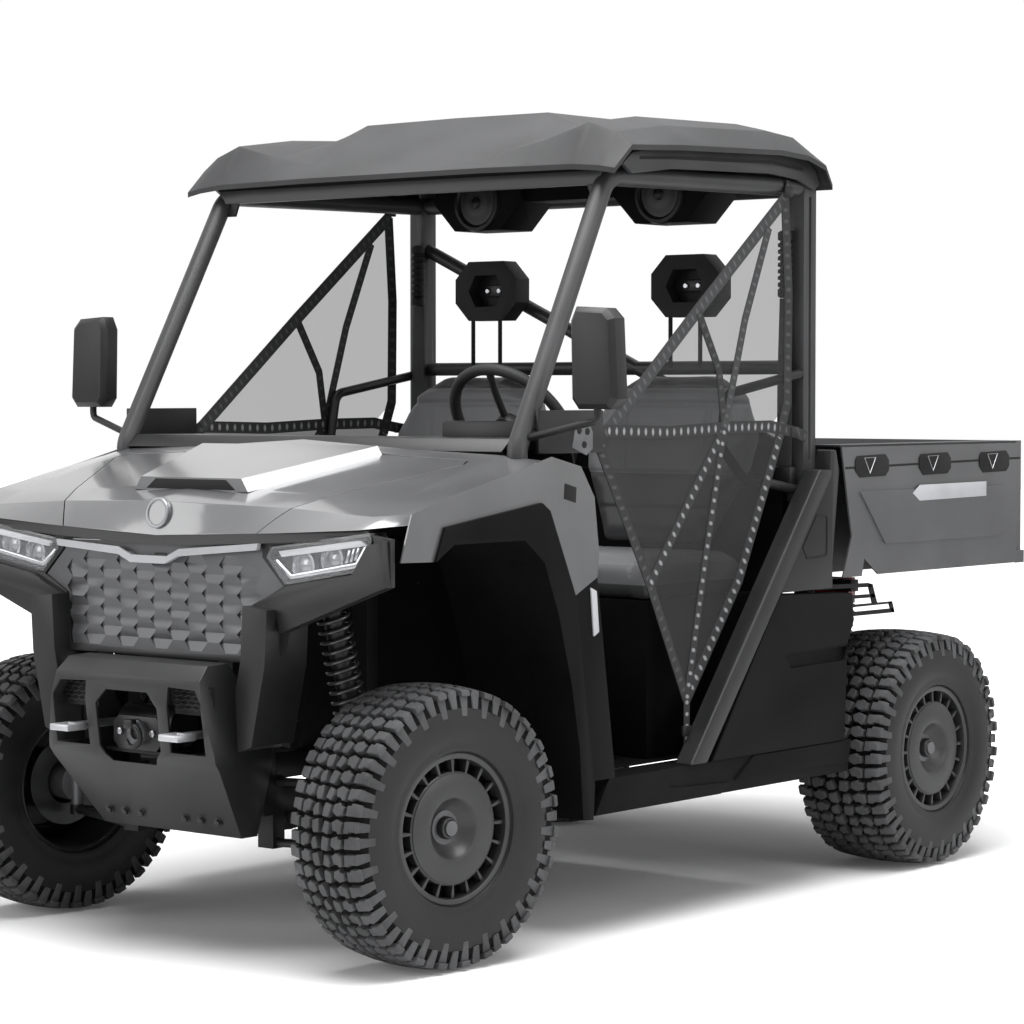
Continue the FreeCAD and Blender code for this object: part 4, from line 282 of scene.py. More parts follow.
for number in range(7):
    ridge_y = -0.1 + number * 0.055
    for side, word in reversed(both_sides):
        side_block(f"battery_rib_{number}_{word}", side, (0.331, ridge_y, 0.42), (0.334, ridge_y + 0.018, 0.61),
            case_paint, 0.001)


# Suspension: welded tube wishbones, cast uprights and half shafts in ribbed rubber boots.
# The boots widen in folds from the shafts to the flanges of the drive units.
arm_coat = coated("arm_black", 0.008, 0.016, 0.38, shine=0.3)
bright_steel = coated("bright_steel", 0.26, 0.38, 0.3, metal=1.0, depth=0.0002)
boot_rubber = coated("boot_rubber", 0.008, 0.016, 0.65, shine=0.3)
dressed("suspension_links", arm_coat)
dressed("rear_hub_carriers", cast_metal)
dressed("knuckle_left", cast_metal, body="knuckle_left")
dressed("knuckle_right", cast_metal, body="knuckle_right")
dressed("drive_shafts", arm_coat)


def turned(name, profile, centre, axis, finish, steps=48, angle=35, body="chassis"):
    """A profile of (along, radius) pairs spun round an axis."""
    mesh = bpy.data.meshes.new(name)
    mesh.from_pydata([(along, radius, 0) for along, radius in profile], [(i, i + 1) for i in range(len(profile) - 1)],
        [])
    piece = placed(name, mesh)
    edit_all(piece)
    bpy.ops.mesh.spin(steps=steps, angle=math.tau, center=(0, 0, 0), axis=(1, 0, 0))
    bpy.ops.mesh.select_all(action="SELECT")
    bpy.ops.mesh.remove_doubles(threshold=0.00001)
    bpy.ops.mesh.normals_make_consistent(inside=False)
    close_edit()
    turn = Vector((1, 0, 0)).rotation_difference(Vector(axis).normalized()).to_matrix().to_4x4()
    mesh.transform(Matrix.Translation(centre) @ turn)
    return finished(piece, finish, angle, body=body)


def rod(name, points, radius, finish, closed=False, sides=3, soft=False, body="chassis"):
    """A round bar or hose through points, made a mesh."""
    line = bpy.data.curves.new(name, "CURVE")
    line.dimensions = "3D"
    line.bevel_depth = radius
    line.bevel_resolution = sides
    line.use_fill_caps = True
    spline = line.splines.new("NURBS" if soft else "POLY")
    spline.points.add(len(points) - 1)
    for knot, place in zip(spline.points, points):
        knot.co = (*place, 1)
    if soft:
        spline.order_u = 3
        spline.use_endpoint_u = True
        spline.resolution_u = 6
    spline.use_cyclic_u = closed
    draft = placed(name + "_line", line)
    bpy.context.view_layer.update()
    mesh = bpy.data.meshes.new_from_object(draft)
    bpy.data.objects.remove(draft)
    mesh.name = name
    piece = placed(name, mesh)
    return finished(piece, finish, 40, body=body)


boot = [(0.0, 0.016)]
for fold in range(5):
    boot += [(0.004 + fold * 0.015, 0.022 + fold * 0.004), (0.012 + fold * 0.015, 0.017 + fold * 0.004)]
boot += [(0.08, 0.04), (0.092, 0.04), (0.094, 0.016)]
for place, axle_y in (("front", front_axle), ("rear", rear_axle)):
    for side, word in both_sides:
        turned(f"boot_{place}_{word}", boot, (0.26 * side, axle_y, 0.318), (-side, 0, -0.04), boot_rubber, 32)

# Coil-over dampers: a wound spring round a damper tube, between a threaded lower collar and a
# rubber top mount, pinned to the wishbone and the frame.
spring_paint = coated("spring_paint", 0.02, 0.05, 0.3, coat=0.5)
collar_metal = coated("collar_alloy", (0.34, 0.31, 0.27), (0.46, 0.42, 0.37), 0.3, metal=0.9)
for place, axle_y, lean, top_z in (("front", front_axle, -1, 0.88), ("rear", rear_axle, 1, 0.755)):
    for side, word in both_sides:
        low = Vector((0.425 * side, axle_y - 0.042 * lean, 0.285))
        top = Vector((0.4 * side, axle_y + 0.084 * lean, top_z))
        way = (top - low).normalized()
        reach = (top - low).length
        across = way.orthogonal().normalized()
        round_about = way.cross(across)
        turns = 12
        coil = []
        for step in range(turns * 14 + 1):
            share = step / (turns * 14)
            bend = math.tau * turns * share
            coil.append(low + way * reach * (0.44 + 0.48 * share) + (across * math.cos(bend)
                + round_about * math.sin(bend)) * 0.037)
        spring = rod(f"spring_{place}_{word}", coil, 0.005, spring_paint)
        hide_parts("shock_absorbers")
        damper = [(0.0, 0.0), (0.0, 0.012), (reach * 0.3, 0.012), (reach * 0.3, 0.022), (reach * 0.4, 0.022),
            (reach * 0.4, 0.024), (reach * 0.94, 0.024), (reach * 0.94, 0.038), (reach * 0.975, 0.036),
            (reach * 0.985, 0.0)]
        turned(f"damper_{place}_{word}", damper, low, way, arm_coat, 32)
        collar = [(0.0, 0.024), (0.002, 0.038), (0.01, 0.039), (0.012, 0.032), (0.022, 0.032), (0.024, 0.039),
            (0.034, 0.038), (0.036, 0.024)]
        turned(f"spring_collar_{place}_{word}", collar, low + way * reach * 0.385, way, collar_metal, 32)


# Road wheels: pressed steel discs with a dished middle and a ring of slots inside the rim flange,
# painted gunmetal, held by a hub with a plain round cap.
rim_paint = coated("rim_gunmetal", 0.024, 0.034, 0.36, metal=0.25, shine=0.5)
cap_plastic = coated("cap_black", 0.014, 0.022, 0.34, shine=0.4)
disc_iron = coated("disc_iron", 0.05, 0.09, 0.42, metal=0.8)
# Painted shade for the wheel slots.
slot_painted_shade = coated("slot_painted_shade", 0.003, 0.005, 0.7, shine=0.05)
kingpin = 0.556
spoke_count = 20
hub_z = 0.33
steer_degrees = -6.5
front_offset = 0.087
rear_track_half = 0.643
front_half, rear_half = 0.115, 0.14
wheel_places = {}
for side, word in both_sides:
    mirror = Matrix.Diagonal((side, 1, 1, 1))
    steered = Matrix.Rotation(math.radians(steer_degrees), 4, "Z") @ Matrix.Translation((front_offset * side, 0, 0))
    wheel_places["front_" + word] = Matrix.Translation((kingpin * side, front_axle, hub_z)) @ steered @ mirror
    wheel_places["rear_" + word] = Matrix.Translation((rear_track_half * side, rear_axle, hub_z)) @ mirror


def on_wheel(piece, corner):
    """Move a piece that was made round the world's X axis to its wheel."""
    piece.data.transform(wheel_places[corner])
    if wheel_places[corner].determinant() < 0:
        piece.data.flip_normals()


def wheel_part(name, corner, profile, finish, steps=96, angle=30):
    """A piece of one wheel that is turned round its axle."""
    piece = turned(f"{name}_{corner}", profile, (0, 0, 0), (1, 0, 0), finish, steps, angle, body="wheel_" + corner)
    on_wheel(piece, corner)
    return piece


def spokes(name, face):
    """The short ribs between the disc and the rim, one shaped and the rest copied round."""
    rib = cube(name, (0, 0, 0), (1, 1, 1))
    for vertex in rib.data.vertices:
        outer = vertex.co.z > 0
        front = vertex.co.x > 0
        half = (0.0052 if outer else 0.0026) + (0 if front else 0.0016)
        vertex.co = (face - (0.002 if front and not outer else 0.0035 if front else 0.028),
            half if vertex.co.y > 0 else -half, 0.163 if outer else 0.1295)
    edit_all(rib)
    bpy.ops.mesh.normals_make_consistent(inside=False)
    bpy.ops.mesh.bevel(offset=0.0011, segments=2, affect="EDGES")
    for number in range(1, spoke_count):
        bpy.ops.mesh.select_all(action="DESELECT")
        live = bmesh.from_edit_mesh(rib.data)
        live.faces.ensure_lookup_table()
        each = len(live.faces) // number
        for face_number in range(each):
            live.faces[face_number].select = True
        live.select_flush(True)
        bpy.ops.mesh.duplicate()
        bpy.ops.transform.rotate(value=math.tau / spoke_count * number, orient_axis="X", center_override=(0, 0, 0))
    close_edit()
    return rib


for corner in wheel_places:
    half = front_half if corner.startswith("front") else rear_half
    face = half - 0.024
    barrel = wheel_part("rim_barrel", corner, [(face - 0.03, 0.16), (face - 0.002, 0.161), (face + 0.0035, 0.1625),
        (face + 0.0055, 0.167), (face + 0.0058, 0.174), (face + 0.0035, 0.1782), (face - 0.001, 0.1788),
        (face - 0.0035, 0.1735), (face - 0.012, 0.1722), (0.035 - face, 0.1722), (0.005 - face, 0.1735),
        (0.002 - face, 0.1785), (-0.003 - face, 0.1785), (-0.005 - face, 0.173), (-face, 0.1675),
        (0.03 - face, 0.1655), (0, 0.156), (face - 0.034, 0.158), (face - 0.03, 0.16)], rim_paint)
    dish = [(-0.036, 0.0), (-0.036, 0.024), (-0.034, 0.03), (-0.03, 0.04), (-0.021, 0.054), (-0.01, 0.0645),
        (-0.003, 0.07), (-0.0006, 0.0735), (0, 0.078), (0.0004, 0.1255), (-0.0006, 0.1275), (-0.0022, 0.128),
        (-0.0022, 0.13), (-0.0045, 0.1325), (-0.034, 0.1335), (-0.034, 0.129), (-0.007, 0.125), (-0.007, 0.078),
        (-0.02, 0.065), (-0.041, 0.04), (-0.041, 0.0)]
    disc = wheel_part("rim_disc", corner, [(face + along, radius) for along, radius in dish], rim_paint)
    ribs = finished(spokes("rim_ribs_" + corner, face), rim_paint, 40, body="wheel_" + corner)
    on_wheel(ribs, corner)
    back_of_slots, front_of_slots = face - 0.034, face - 0.03
    # A near-black ring behind the ribs closes the slots: painted shade where they would show the dark inside the
    # wheel.
    wheel_part("slot_shade_ring", corner, [(back_of_slots, 0.13), (front_of_slots, 0.13), (front_of_slots, 0.161),
        (back_of_slots, 0.161), (back_of_slots, 0.13)], slot_painted_shade, 48)
    button = [(-0.037, 0.0268), (-0.016, 0.0262), (-0.0125, 0.024), (-0.0115, 0.0195), (-0.0135, 0.0175),
        (-0.0132, 0.0)]
    wheel_part("cap", corner, [(face + along, radius) for along, radius in button], cap_plastic, 48, 35)
    reach = 0.05 + (half - front_half)
    wheel_part("brake_disc", corner, [(-0.043, 0.058), (-0.043, 0.112), (-0.038, 0.112), (-0.038, 0.062),
        (reach, 0.062), (reach, 0.058), (-0.043, 0.058)], disc_iron, 64, 35)
    for piece in (barrel, disc, ribs):
        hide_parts("rim_" + corner)


# Tyres: all terrain radials of black rubber with staggered tread blocks and buttress lugs on
# the shoulders, seated on the rim's beads. The walls are glossier than the tread.
wall_rubber = coated("wall_rubber", 0.006, 0.011, 0.46, grain=260, depth=0.001, shine=0.3)
tread_rubber = coated("tread_rubber", 0.03, 0.085, 0.6, grain=300, depth=0.0012, shine=0.3)
# Near-black rubber for the groove floors between the tread blocks: painted shade.
groove_painted_shade = coated("groove_painted_shade", 0.003, 0.006, 0.8, grain=300, depth=0.0012, shine=0.1)
pitches = 27
pitch = math.tau / pitches
tread_plan = [[(0.67, 0.03), (0.99, 0.06), (0.99, 0.42), (0.8, 0.45), (0.78, 0.36), (0.68, 0.36)],
    [(0.64, 0.51), (0.76, 0.51), (0.79, 0.58), (0.94, 0.57), (0.94, 0.9), (0.66, 0.88)],
    [(0.3, 0.1), (0.44, -0.02), (0.6, 0.05), (0.61, 0.3), (0.52, 0.33), (0.49, 0.42), (0.33, 0.34)],
    [(0.36, 0.55), (0.47, 0.54), (0.51, 0.46), (0.6, 0.5), (0.6, 0.82), (0.45, 0.92), (0.31, 0.8)],
    [(0.03, -0.06), (0.2, -0.08), (0.25, 0.09), (0.25, 0.3), (0.08, 0.37), (0.04, 0.2)],
    [(0.05, 0.49), (0.22, 0.42), (0.27, 0.6), (0.23, 0.78), (0.12, 0.84)]]


def crown(share):
    """Radius of the tread over a share of the half width."""
    return 0.3298 - 0.01 * share ** 2


def tread(name, half):
    """One tyre's ring of tread blocks and buttress lugs, as one mesh."""
    corners, sides = [], []

    def lug(low, high):
        start = len(corners)
        count = len(low)
        corners.extend(low + high)
        sides.append([start + count + i for i in range(count)])
        sides.append([start + i for i in reversed(range(count))])
        for i in range(count):
            j = (i + 1) % count
            sides.append([start + i, start + j, start + count + j, start + count + i])

    for number in range(pitches):
        for flip in (1, -1):
            for plan in tread_plan:
                middle_x = sum(x for x, turn in plan) / len(plan)
                middle_t = sum(turn for x, turn in plan) / len(plan)
                low, high = [], []
                for x, turn in plan:
                    for ring, shrink, level in ((low, 1.04, 0.307), (high, 0.94, None)):
                        u = middle_x + (x - middle_x) * shrink
                        t = (number + (middle_t + (turn - middle_t) * shrink) + (0.5 if flip < 0 else 0)) * pitch
                        radius = level if level else crown(u)
                        ring.append((u * half * flip, radius * math.sin(t), radius * math.cos(t)))
                if flip < 0:
                    low, high = low[::-1], high[::-1]
                lug(low, high)
            for first, last, foot in ((0.05, 0.4, 0.262), (0.55, 0.9, 0.28)):
                low, high = [], []
                for share, radius, turn in ((0.9, 0.316, first), (0.985, foot, first + 0.04),
                        (0.985, foot, last - 0.04), (0.9, 0.316, last)):
                    t = (number + turn + (0.5 if flip < 0 else 0)) * pitch
                    low.append((share * half * flip * 0.97, radius * math.sin(t), radius * math.cos(t)))
                    high.append(((share * half + 0.0035 * (1 if radius > 0.3 else 0.45)) * flip,
                        (radius - 0.001) * math.sin(t), (radius - 0.001) * math.cos(t)))
                if flip < 0:
                    low, high = low[::-1], high[::-1]
                lug(low, high)
    mesh = bpy.data.meshes.new(name)
    mesh.from_pydata(corners, [], sides)
    piece = placed(name, mesh)
    edit_all(piece)
    bpy.ops.mesh.normals_make_consistent(inside=False)
    close_edit()
    rounded(piece, 0.0014, 50, 1)
    return piece


for corner in wheel_places:
    half = front_half if corner.startswith("front") else rear_half
    wall = [(0.83, 0.1775), (0.9, 0.18), (0.925, 0.188), (0.92, 0.194), (0.955, 0.205), (0.985, 0.225),
        (0.992, 0.243), (0.985, 0.262), (0.965, 0.28), (0.93, 0.297), (0.86, 0.3095), (0.6, 0.3125), (0.3, 0.3135)]
    profile = [(share * half, radius) for share, radius in wall] + [(0, 0.314)]
    profile += [(-share * half, radius) for share, radius in reversed(wall)]
    profile += [(-0.8 * half, 0.174), (0.8 * half, 0.174), (0.83 * half, 0.1775)]
    carcass = turned("carcass_" + corner, profile, (0, 0, 0), (1, 0, 0), wall_rubber, 96, 50, body="wheel_" + corner)
    # Carcass faces round the crown, between the blocks, take the near-black finish: painted shade in the grooves.
    carcass.data.materials.append(groove_painted_shade)
    for side_face in carcass.data.polygons:
        side_face.material_index = 1 if math.hypot(side_face.center.y, side_face.center.z) > 0.285 else 0
    blocks = tread("tread_" + corner, half)
    finished(blocks, tread_rubber, 40, body="wheel_" + corner)
    for piece in (carcass, blocks):
        on_wheel(piece, corner)
        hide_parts("tyre_" + corner)


# Floor tub, seat base and sill mouldings: black grained plastic, bolted to the frame and sills.
# The floor has raised anti-slip ribs under the feet.
black_moulding = coated("black_moulding", 0.004, 0.007, 0.52, depth=0.0008, shine=0.05)
for name in ("floor_tub", "seat_base", "rocker_panels"):
    dressed(name, black_moulding, edge=0.003)
for number in range(9):
    for side, word in both_sides:
        side_block(f"floor_rib_{number}_{word}", side, (0.1, -0.52 + number * 0.036, 0.3965),
            (0.54, -0.508 + number * 0.036, 0.4), black_moulding, 0.001)


# Front wings and bonnet: painted mouldings in satin metallic grey under a clear coat. The bonnet
# is hinged at the cowl and carries a round badge seat, left plain, on its front face.
paint = coated("metallic_grey", 0.092, 0.112, 0.4, metal=0.45, grain=2500, depth=0.00003, coat=1.0)
fill(shader_of(paint), Coat_IOR=1.75, Coat_Roughness=0.13)
dressed("bonnet", paint, edge=0.004, angle=14, body="bonnet")
dressed("front_wings", paint, edge=0.003, angle=14)


def polygon(name, corners):
    """One flat face through corners."""
    bpy.ops.object.select_all(action="DESELECT")
    bpy.ops.mesh.primitive_circle_add(vertices=len(corners), radius=1, fill_type="NGON")
    piece = bpy.context.object
    piece.name = name
    for vertex, place in zip(piece.data.vertices, corners):
        vertex.co = place
    return piece


def flank(x, pairs):
    """Points on an upright plane along the vehicle, from pairs of a distance behind the front axle and a height."""
    return [(x, front_axle + y, z) for y, z in pairs]


def front_on(side, y, pairs):
    """Points on an upright plane across the vehicle, given for the left side."""
    return [(x * side, y, z) for x, z in pairs]


def outline_plate(name, corners, push, finish, edge=0.002, body="chassis"):
    """A plate cut to an outline and pushed out to its thickness."""
    piece = polygon(name, corners)
    edit_all(piece)
    bpy.ops.mesh.extrude_region_move(TRANSFORM_OT_translate={"value": push})
    bpy.ops.mesh.select_all(action="SELECT")
    bpy.ops.mesh.normals_make_consistent(inside=False)
    close_edit()
    if edge:
        rounded(piece, edge, 30)
    return finished(piece, finish, body=body)


def flank_plates(name, x, pairs, thickness, finish, edge=0.002, body="chassis"):
    """A plate on each flank of the vehicle, pushed outwards to its thickness."""
    for side, word in both_sides:
        outline_plate(f"{name}_{word}", flank(x * side, pairs), (thickness * side, 0, 0), finish, edge, body=body)


badge_metal = coated("badge_satin", 0.2, 0.28, 0.32, metal=0.9)
turned("badge_seat", [(-0.006, 0.0), (0.0025, 0.0), (0.003, 0.029), (-0.006, 0.029)], (0, -1.3285, 1.046),
    (0, -0.985, 0.17), paint, 48, body="bonnet")
turned("badge_ring", [(-0.006, 0.029), (0.0045, 0.029), (0.0062, 0.0315), (0.0062, 0.0345), (0.004, 0.0375),
    (-0.006, 0.0385), (-0.006, 0.029)], (0, -1.3285, 1.046), (0, -0.985, 0.17), badge_metal, 64, body="bonnet")
# Near-black plastic for real black trim, also used for strips and plates that paint the shade of grooves, gaps, holes
# and slots.
trim_and_shade_black = coated("black_trim_with_painted_shade", 0.006, 0.01, 0.55, shine=0.2)
outline_plate("bonnet_notch", [(-0.15, -1.2215, 1.1), (0.15, -1.2215, 1.1), (0.118, -1.2215, 1.124),
    (-0.118, -1.2215, 1.124)], (0, -0.0015, 0.0), trim_and_shade_black, 0.0008, body="bonnet")
trim_light = coated("trim_light", 0.4, 0.5, 0.4)
flank_plates("wing_plate", 0.7445, ((0.376, 1.116), (0.421, 1.105), (0.418, 1.068), (0.373, 1.079)), 0.0018,
    trim_and_shade_black, 0.0006)
flank_plates("side_marker", 0.744, ((0.474, 0.862), (0.497, 0.852), (0.507, 0.752), (0.486, 0.742)), 0.006,
    trim_light)


# Wheel arch flares and liners: deep black mouldings screwed to the wings and the frame. The
# liners keep their sharp edges, because they are thin and lie in the dark of the arches.
for name in ("wheel_arch_flares", "wheel_liners"):
    dressed(name, black_moulding, edge=0.003 if name == "wheel_arch_flares" else 0)


# Nose: a moulded black surround with two forward arms, and the faceted grille plate between them.
# A white light strip with a dip in its middle runs across the top.
satin_black = coated("satin_black", 0.009, 0.015, 0.38, depth=0.0003, shine=0.3)
dressed("front_panel", satin_black, edge=0.004)
grille_paint = coated("grille_silver", 0.085, 0.105, 0.4, metal=0.45, grain=1500, depth=0.0001)
dressed("grille", grille_paint, edge=0.0, angle=1.5)
light_strip = coated("light_strip", 0.36, 0.42, 0.25)


def ribbon(name, top_line, low_line, push, finish, edge=0.002):
    """A long plate between an upper and a lower line of points."""
    return outline_plate(name, list(top_line) + list(reversed(low_line)), push, finish, edge)


def nose(x, z, back=0.0):
    """A point on the nose, whose face leans back towards its outer ends."""
    return (x, front_axle - 0.262 + back + 0.055 * max(0, abs(x) - 0.3), z)


strip_top = [(-0.342, 0.974), (-0.128, 0.962), (-0.086, 0.944), (0.043, 0.944), (0.085, 0.963), (0.342, 0.984)]
strip_low = [(-0.338, 0.958), (-0.122, 0.944), (-0.08, 0.926), (0.036, 0.926), (0.08, 0.945), (0.338, 0.968)]
for first in range(len(strip_top) - 1):
    ribbon(f"light_strip_{first}", [nose(*strip_top[first]), nose(*strip_top[first + 1])],
        [nose(*strip_low[first]), nose(*strip_low[first + 1])], (0, 0.012, 0), light_strip, 0.0)
lip_xs = (-0.66, -0.5, -0.33, -0.12, 0.12, 0.33, 0.5, 0.66)
for first in range(len(lip_xs) - 1):
    band_top = [nose(x, 0.9915 + 0.029 * (abs(x) / 0.66), 0.012) for x in lip_xs[first:first + 2]]
    band_low = [nose(x, 0.966 + 0.034 * (abs(x) / 0.66), 0.006) for x in lip_xs[first:first + 2]]
    ribbon(f"lip_band_{first}", band_top, band_low, (0, 0.014, 0), satin_black, 0.0)


# Headlamps: a dark moulded housing with two projectors, a daylight bar, three bright blades and a
# bright lower bezel, closed by a clear moulded cover. They are clipped into the nose.
lamp_black = coated("lamp_black", 0.006, 0.012, 0.25, shine=0.5)
chrome = coated("lamp_chrome", 0.42, 0.52, 0.12, metal=1.0, depth=0.0001)
clear = coated("lamp_clear", 0.75, 0.8, 0.03, depth=0.0, shine=1.0)
fill(shader_of(clear), Alpha=0.1)
lamp_bar = coated("lamp_bar", 0.62, 0.7, 0.22)
lens_glass = coated("lens_glass", 0.3, 0.36, 0.05, metal=0.6, depth=0.0)


def edit_face(piece, index):
    """Open one piece in edit mode with one face selected."""
    edit_all(piece)
    bpy.ops.mesh.select_all(action="DESELECT")
    close_edit()
    piece.data.polygons[index].select = True
    bpy.ops.object.mode_set(mode="EDIT")
    bpy.ops.mesh.select_mode(type="FACE")


for side, word in both_sides:
    lamp_edge = [(0.366, 0.977), (0.672, 1.017), (0.68, 1.0), (0.64, 0.927), (0.438, 0.893), (0.412, 0.89),
        (0.354, 0.95)]
    face_y = front_axle - 0.243
    housing = outline_plate("lamp_housing_" + word, front_on(side, face_y + 0.004, lamp_edge), (0, 0.055, 0),
        lamp_black, 0.0015)
    edit_face(housing, min(housing.data.polygons, key=lambda face: (face.center.y, -face.area)).index)
    bpy.ops.mesh.inset(thickness=0.006, depth=0)
    bpy.ops.mesh.extrude_region_move(TRANSFORM_OT_translate={"value": (0, 0.038, 0)})
    close_edit()
    finished(housing, lamp_black, 30)
    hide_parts("headlamps")
    outline_plate("lamp_cover_" + word, front_on(side, face_y, lamp_edge), (0, 0.003, 0), clear, 0.001)
    for number, (x, z, radius) in enumerate(((0.455, 0.935, 0.031), (0.545, 0.952, 0.03))):
        turned(f"projector_ring_{number}_{word}", [(0.0, radius + 0.004), (0.018, radius + 0.005), (0.02, radius),
            (0.004, radius - 0.007), (0.0, radius - 0.007)], (x * side, face_y + 0.034, z), (0, -1, 0), chrome, 36)
        turned(f"projector_lens_{number}_{word}", [(0.0, radius - 0.004), (0.006, radius - 0.007),
            (0.011, (radius - 0.007) * 0.7), (0.013, 0.0)], (x * side, face_y + 0.036, z), (0, -1, 0), lens_glass, 36,
            60)
    outline_plate("daylight_bar_" + word, front_on(side, face_y + 0.006, ((0.386, 0.9665), (0.64, 1.0),
        (0.662, 0.988), (0.396, 0.9535))), (0, 0.01, 0), lamp_bar, 0.001)
    outline_plate("lamp_bezel_" + word, front_on(side, face_y + 0.01, ((0.366, 0.944), (0.418, 0.902), (0.632, 0.937),
        (0.662, 0.986), (0.65, 0.988), (0.622, 0.948), (0.424, 0.914), (0.38, 0.948))), (0, 0.01, 0), chrome, 0.001)
    for number in range(3):
        blade = [(x + number * 0.014, z + number * 0.004) for x, z in ((0.588, 0.945), (0.596, 0.946), (0.606, 0.976),
            (0.598, 0.975))]
        outline_plate(f"lamp_blade_{number}_{word}", front_on(side, face_y + 0.012, blade), (0, 0.016, 0), chrome,
            0.0008)


# Bumper, skid plate and winch: a charcoal moulding over the frame with an eight-sided window.
# Two honeycomb inserts, the winch with its fairlead and hook, and the two tow hooks sit in it.
charcoal = coated("charcoal_moulding", 0.014, 0.021, 0.4, depth=0.0004, shine=0.35)
dressed("front_bumper", charcoal, edge=0.004)
dressed("winch", satin_black, edge=0.002)
hook_steel = coated("hook_steel", 0.38, 0.5, 0.38, metal=0.7, depth=0.0003)
dressed("tow_hooks", hook_steel, edge=0.003)
bumper_y = front_axle - 0.345
for side, word in both_sides:
    wires = []
    for row in range(6):
        points = []
        for step in range(11):
            x = 0.134 + step * 0.0118
            z = 0.592 + row * 0.0105 + (0.0042 if (step + row) % 2 else 0.0)
            points.append((x * side, bumper_y + 0.02, z))
        wires.append(rod(f"insert_wire_{row}_{word}", points, 0.0019, satin_black, sides=1))
    bpy.ops.object.select_all(action="DESELECT")
    for strand in wires:
        strand.select_set(True)
    bpy.context.view_layer.objects.active = wires[0]
    bpy.ops.object.join()
    wires[0].name = "bumper_insert_" + word
    finished(wires[0], satin_black)
    # A near-black plate behind each insert's wires is painted shade, standing for the dark seen through the
    # honeycomb.
    side_block("insert_shade_back_" + word, side, (0.13, bumper_y + 0.026, 0.58), (0.258, bumper_y + 0.029, 0.65),
        trim_and_shade_black, 0.001)
    for number in range(3):
        turned(f"skid_bolt_{number}_{word}", [(0.0, 0.013), (0.001, 0.013), (0.0015, 0.009), (0.005, 0.009),
            (0.006, 0.007), (0.006, 0.0)], (0.075 * side + 0.055 * side * number, front_axle - 0.2335, 0.318),
            (0, -0.94, -0.34), arm_coat, 16)
    # Near-black plates on the skid plate stand for its slots: painted shade of the openings.
    outline_plate("skid_slot_shade_" + word, [(x * side, front_axle - 0.2395 + (0.36 - z) * 0.55, z) for x,
        z in ((0.19, 0.345), (0.215, 0.345), (0.215, 0.318), (0.2, 0.31), (0.19, 0.318))], (0, -0.004, 0),
        trim_and_shade_black, 0.0005)
fairlead = [(-0.082, 0.502), (-0.064, 0.484), (0.064, 0.484), (0.082, 0.502), (0.082, 0.548), (0.064, 0.566),
    (-0.064, 0.566), (-0.082, 0.548)]
outline_plate("fairlead", [(x, front_axle - 0.318, z) for x, z in fairlead], (0, 0.01, 0), satin_black, 0.003)
turned("hawse_mouth", [(0.0, 0.016), (0.006, 0.017), (0.009, 0.023), (0.006, 0.03), (0.0, 0.032)],
    (0.0, front_axle - 0.318, 0.527), (0, -1, 0), cast_metal, 40)
for number, x in enumerate((-0.055, 0.055)):
    turned(f"fairlead_bolt_{number}", [(0.0, 0.009), (0.006, 0.009), (0.007, 0.007), (0.007, 0.0)],
        (x, front_axle - 0.318, 0.527), (0, -1, 0), bright_steel, 6)
hook_line = [(0.004, 0.548), (0.022, 0.545), (0.034, 0.528), (0.032, 0.506), (0.014, 0.493), (-0.006, 0.496),
    (-0.014, 0.508)]
rod("winch_hook", [(x, front_axle - 0.338 - abs(z - 0.52) * 0.2, z) for x, z in hook_line], 0.0065, satin_black,
    soft=True)
rod("winch_rope", [(0.0, front_axle - 0.3, 0.532), (0.0, front_axle - 0.326, 0.54),
    (0.004, front_axle - 0.341, 0.546)], 0.0035, arm_coat, soft=True)
block("hook_clevis", (-0.012, front_axle - 0.352, 0.538), (0.016, front_axle - 0.334, 0.56), satin_black, 0.003)


# Dashboard and controls: a moulded dash with an instrument panel, a padded three-spoke steering
# wheel on its tilted column, and two pedals on the toe board.
dressed("dashboard", satin_black, edge=0.008)
dressed("steering_column", satin_black, edge=0.002)
dressed("net_brackets", satin_black, edge=0.002)
flank_plates("post_bracket", 0.704, ((0.452, 1.2), (0.47, 1.262), (0.52, 1.262), (0.534, 1.236), (0.534, 1.196),
    (0.51, 1.18)), 0.004, cast_metal, 0.001)
for side, word in both_sides:
    # Near-black discs on each bracket stand for its holes: painted shade of the openings.
    for number, (y, z) in enumerate(((0.48, 1.24), (0.512, 1.238), (0.5, 1.206))):
        turned(f"bracket_hole_shade_{number}_{word}", [(0.0, 0.0085), (0.0012, 0.0085), (0.0012, 0.0)],
            (0.708 * side, front_axle + y, z), (side, 0, 0), trim_and_shade_black, 20)
screen_glass = coated("screen_glass", 0.006, 0.01, 0.12, shine=0.6, depth=0.0)
grip_foam = coated("grip_foam", 0.012, 0.022, 0.58, grain=900, depth=0.001, shine=0.3)
wheel_axis = Vector((0, math.cos(math.radians(35)), math.sin(math.radians(35))))
wheel_middle = Vector((0.37, front_axle + 0.64, 1.25))
wheel_down = wheel_axis.cross(Vector((1, 0, 0)))
ring = []
for step in range(97):
    turn = math.tau * step / 96
    ring.append(wheel_middle + (Vector((1, 0, 0)) * math.cos(turn) + wheel_down * math.sin(turn)) * 0.172)
grip = rod("steering_grip", ring[:-1], 0.0148, grip_foam, closed=True, sides=5, body="steering_wheel")
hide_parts("steering_wheel")
turned("steering_boss", [(-0.03, 0.0), (-0.03, 0.04), (-0.01, 0.043), (0.0, 0.038), (0.003, 0.028), (0.002, 0.0)],
    wheel_middle, wheel_axis, satin_black, 40, body="steering_wheel")
turned("steering_shaft", [(-0.104, 0.0), (-0.104, 0.0108), (-0.026, 0.0108), (-0.026, 0.0)], wheel_middle, wheel_axis,
    bright_steel, 20, body="steering_wheel")
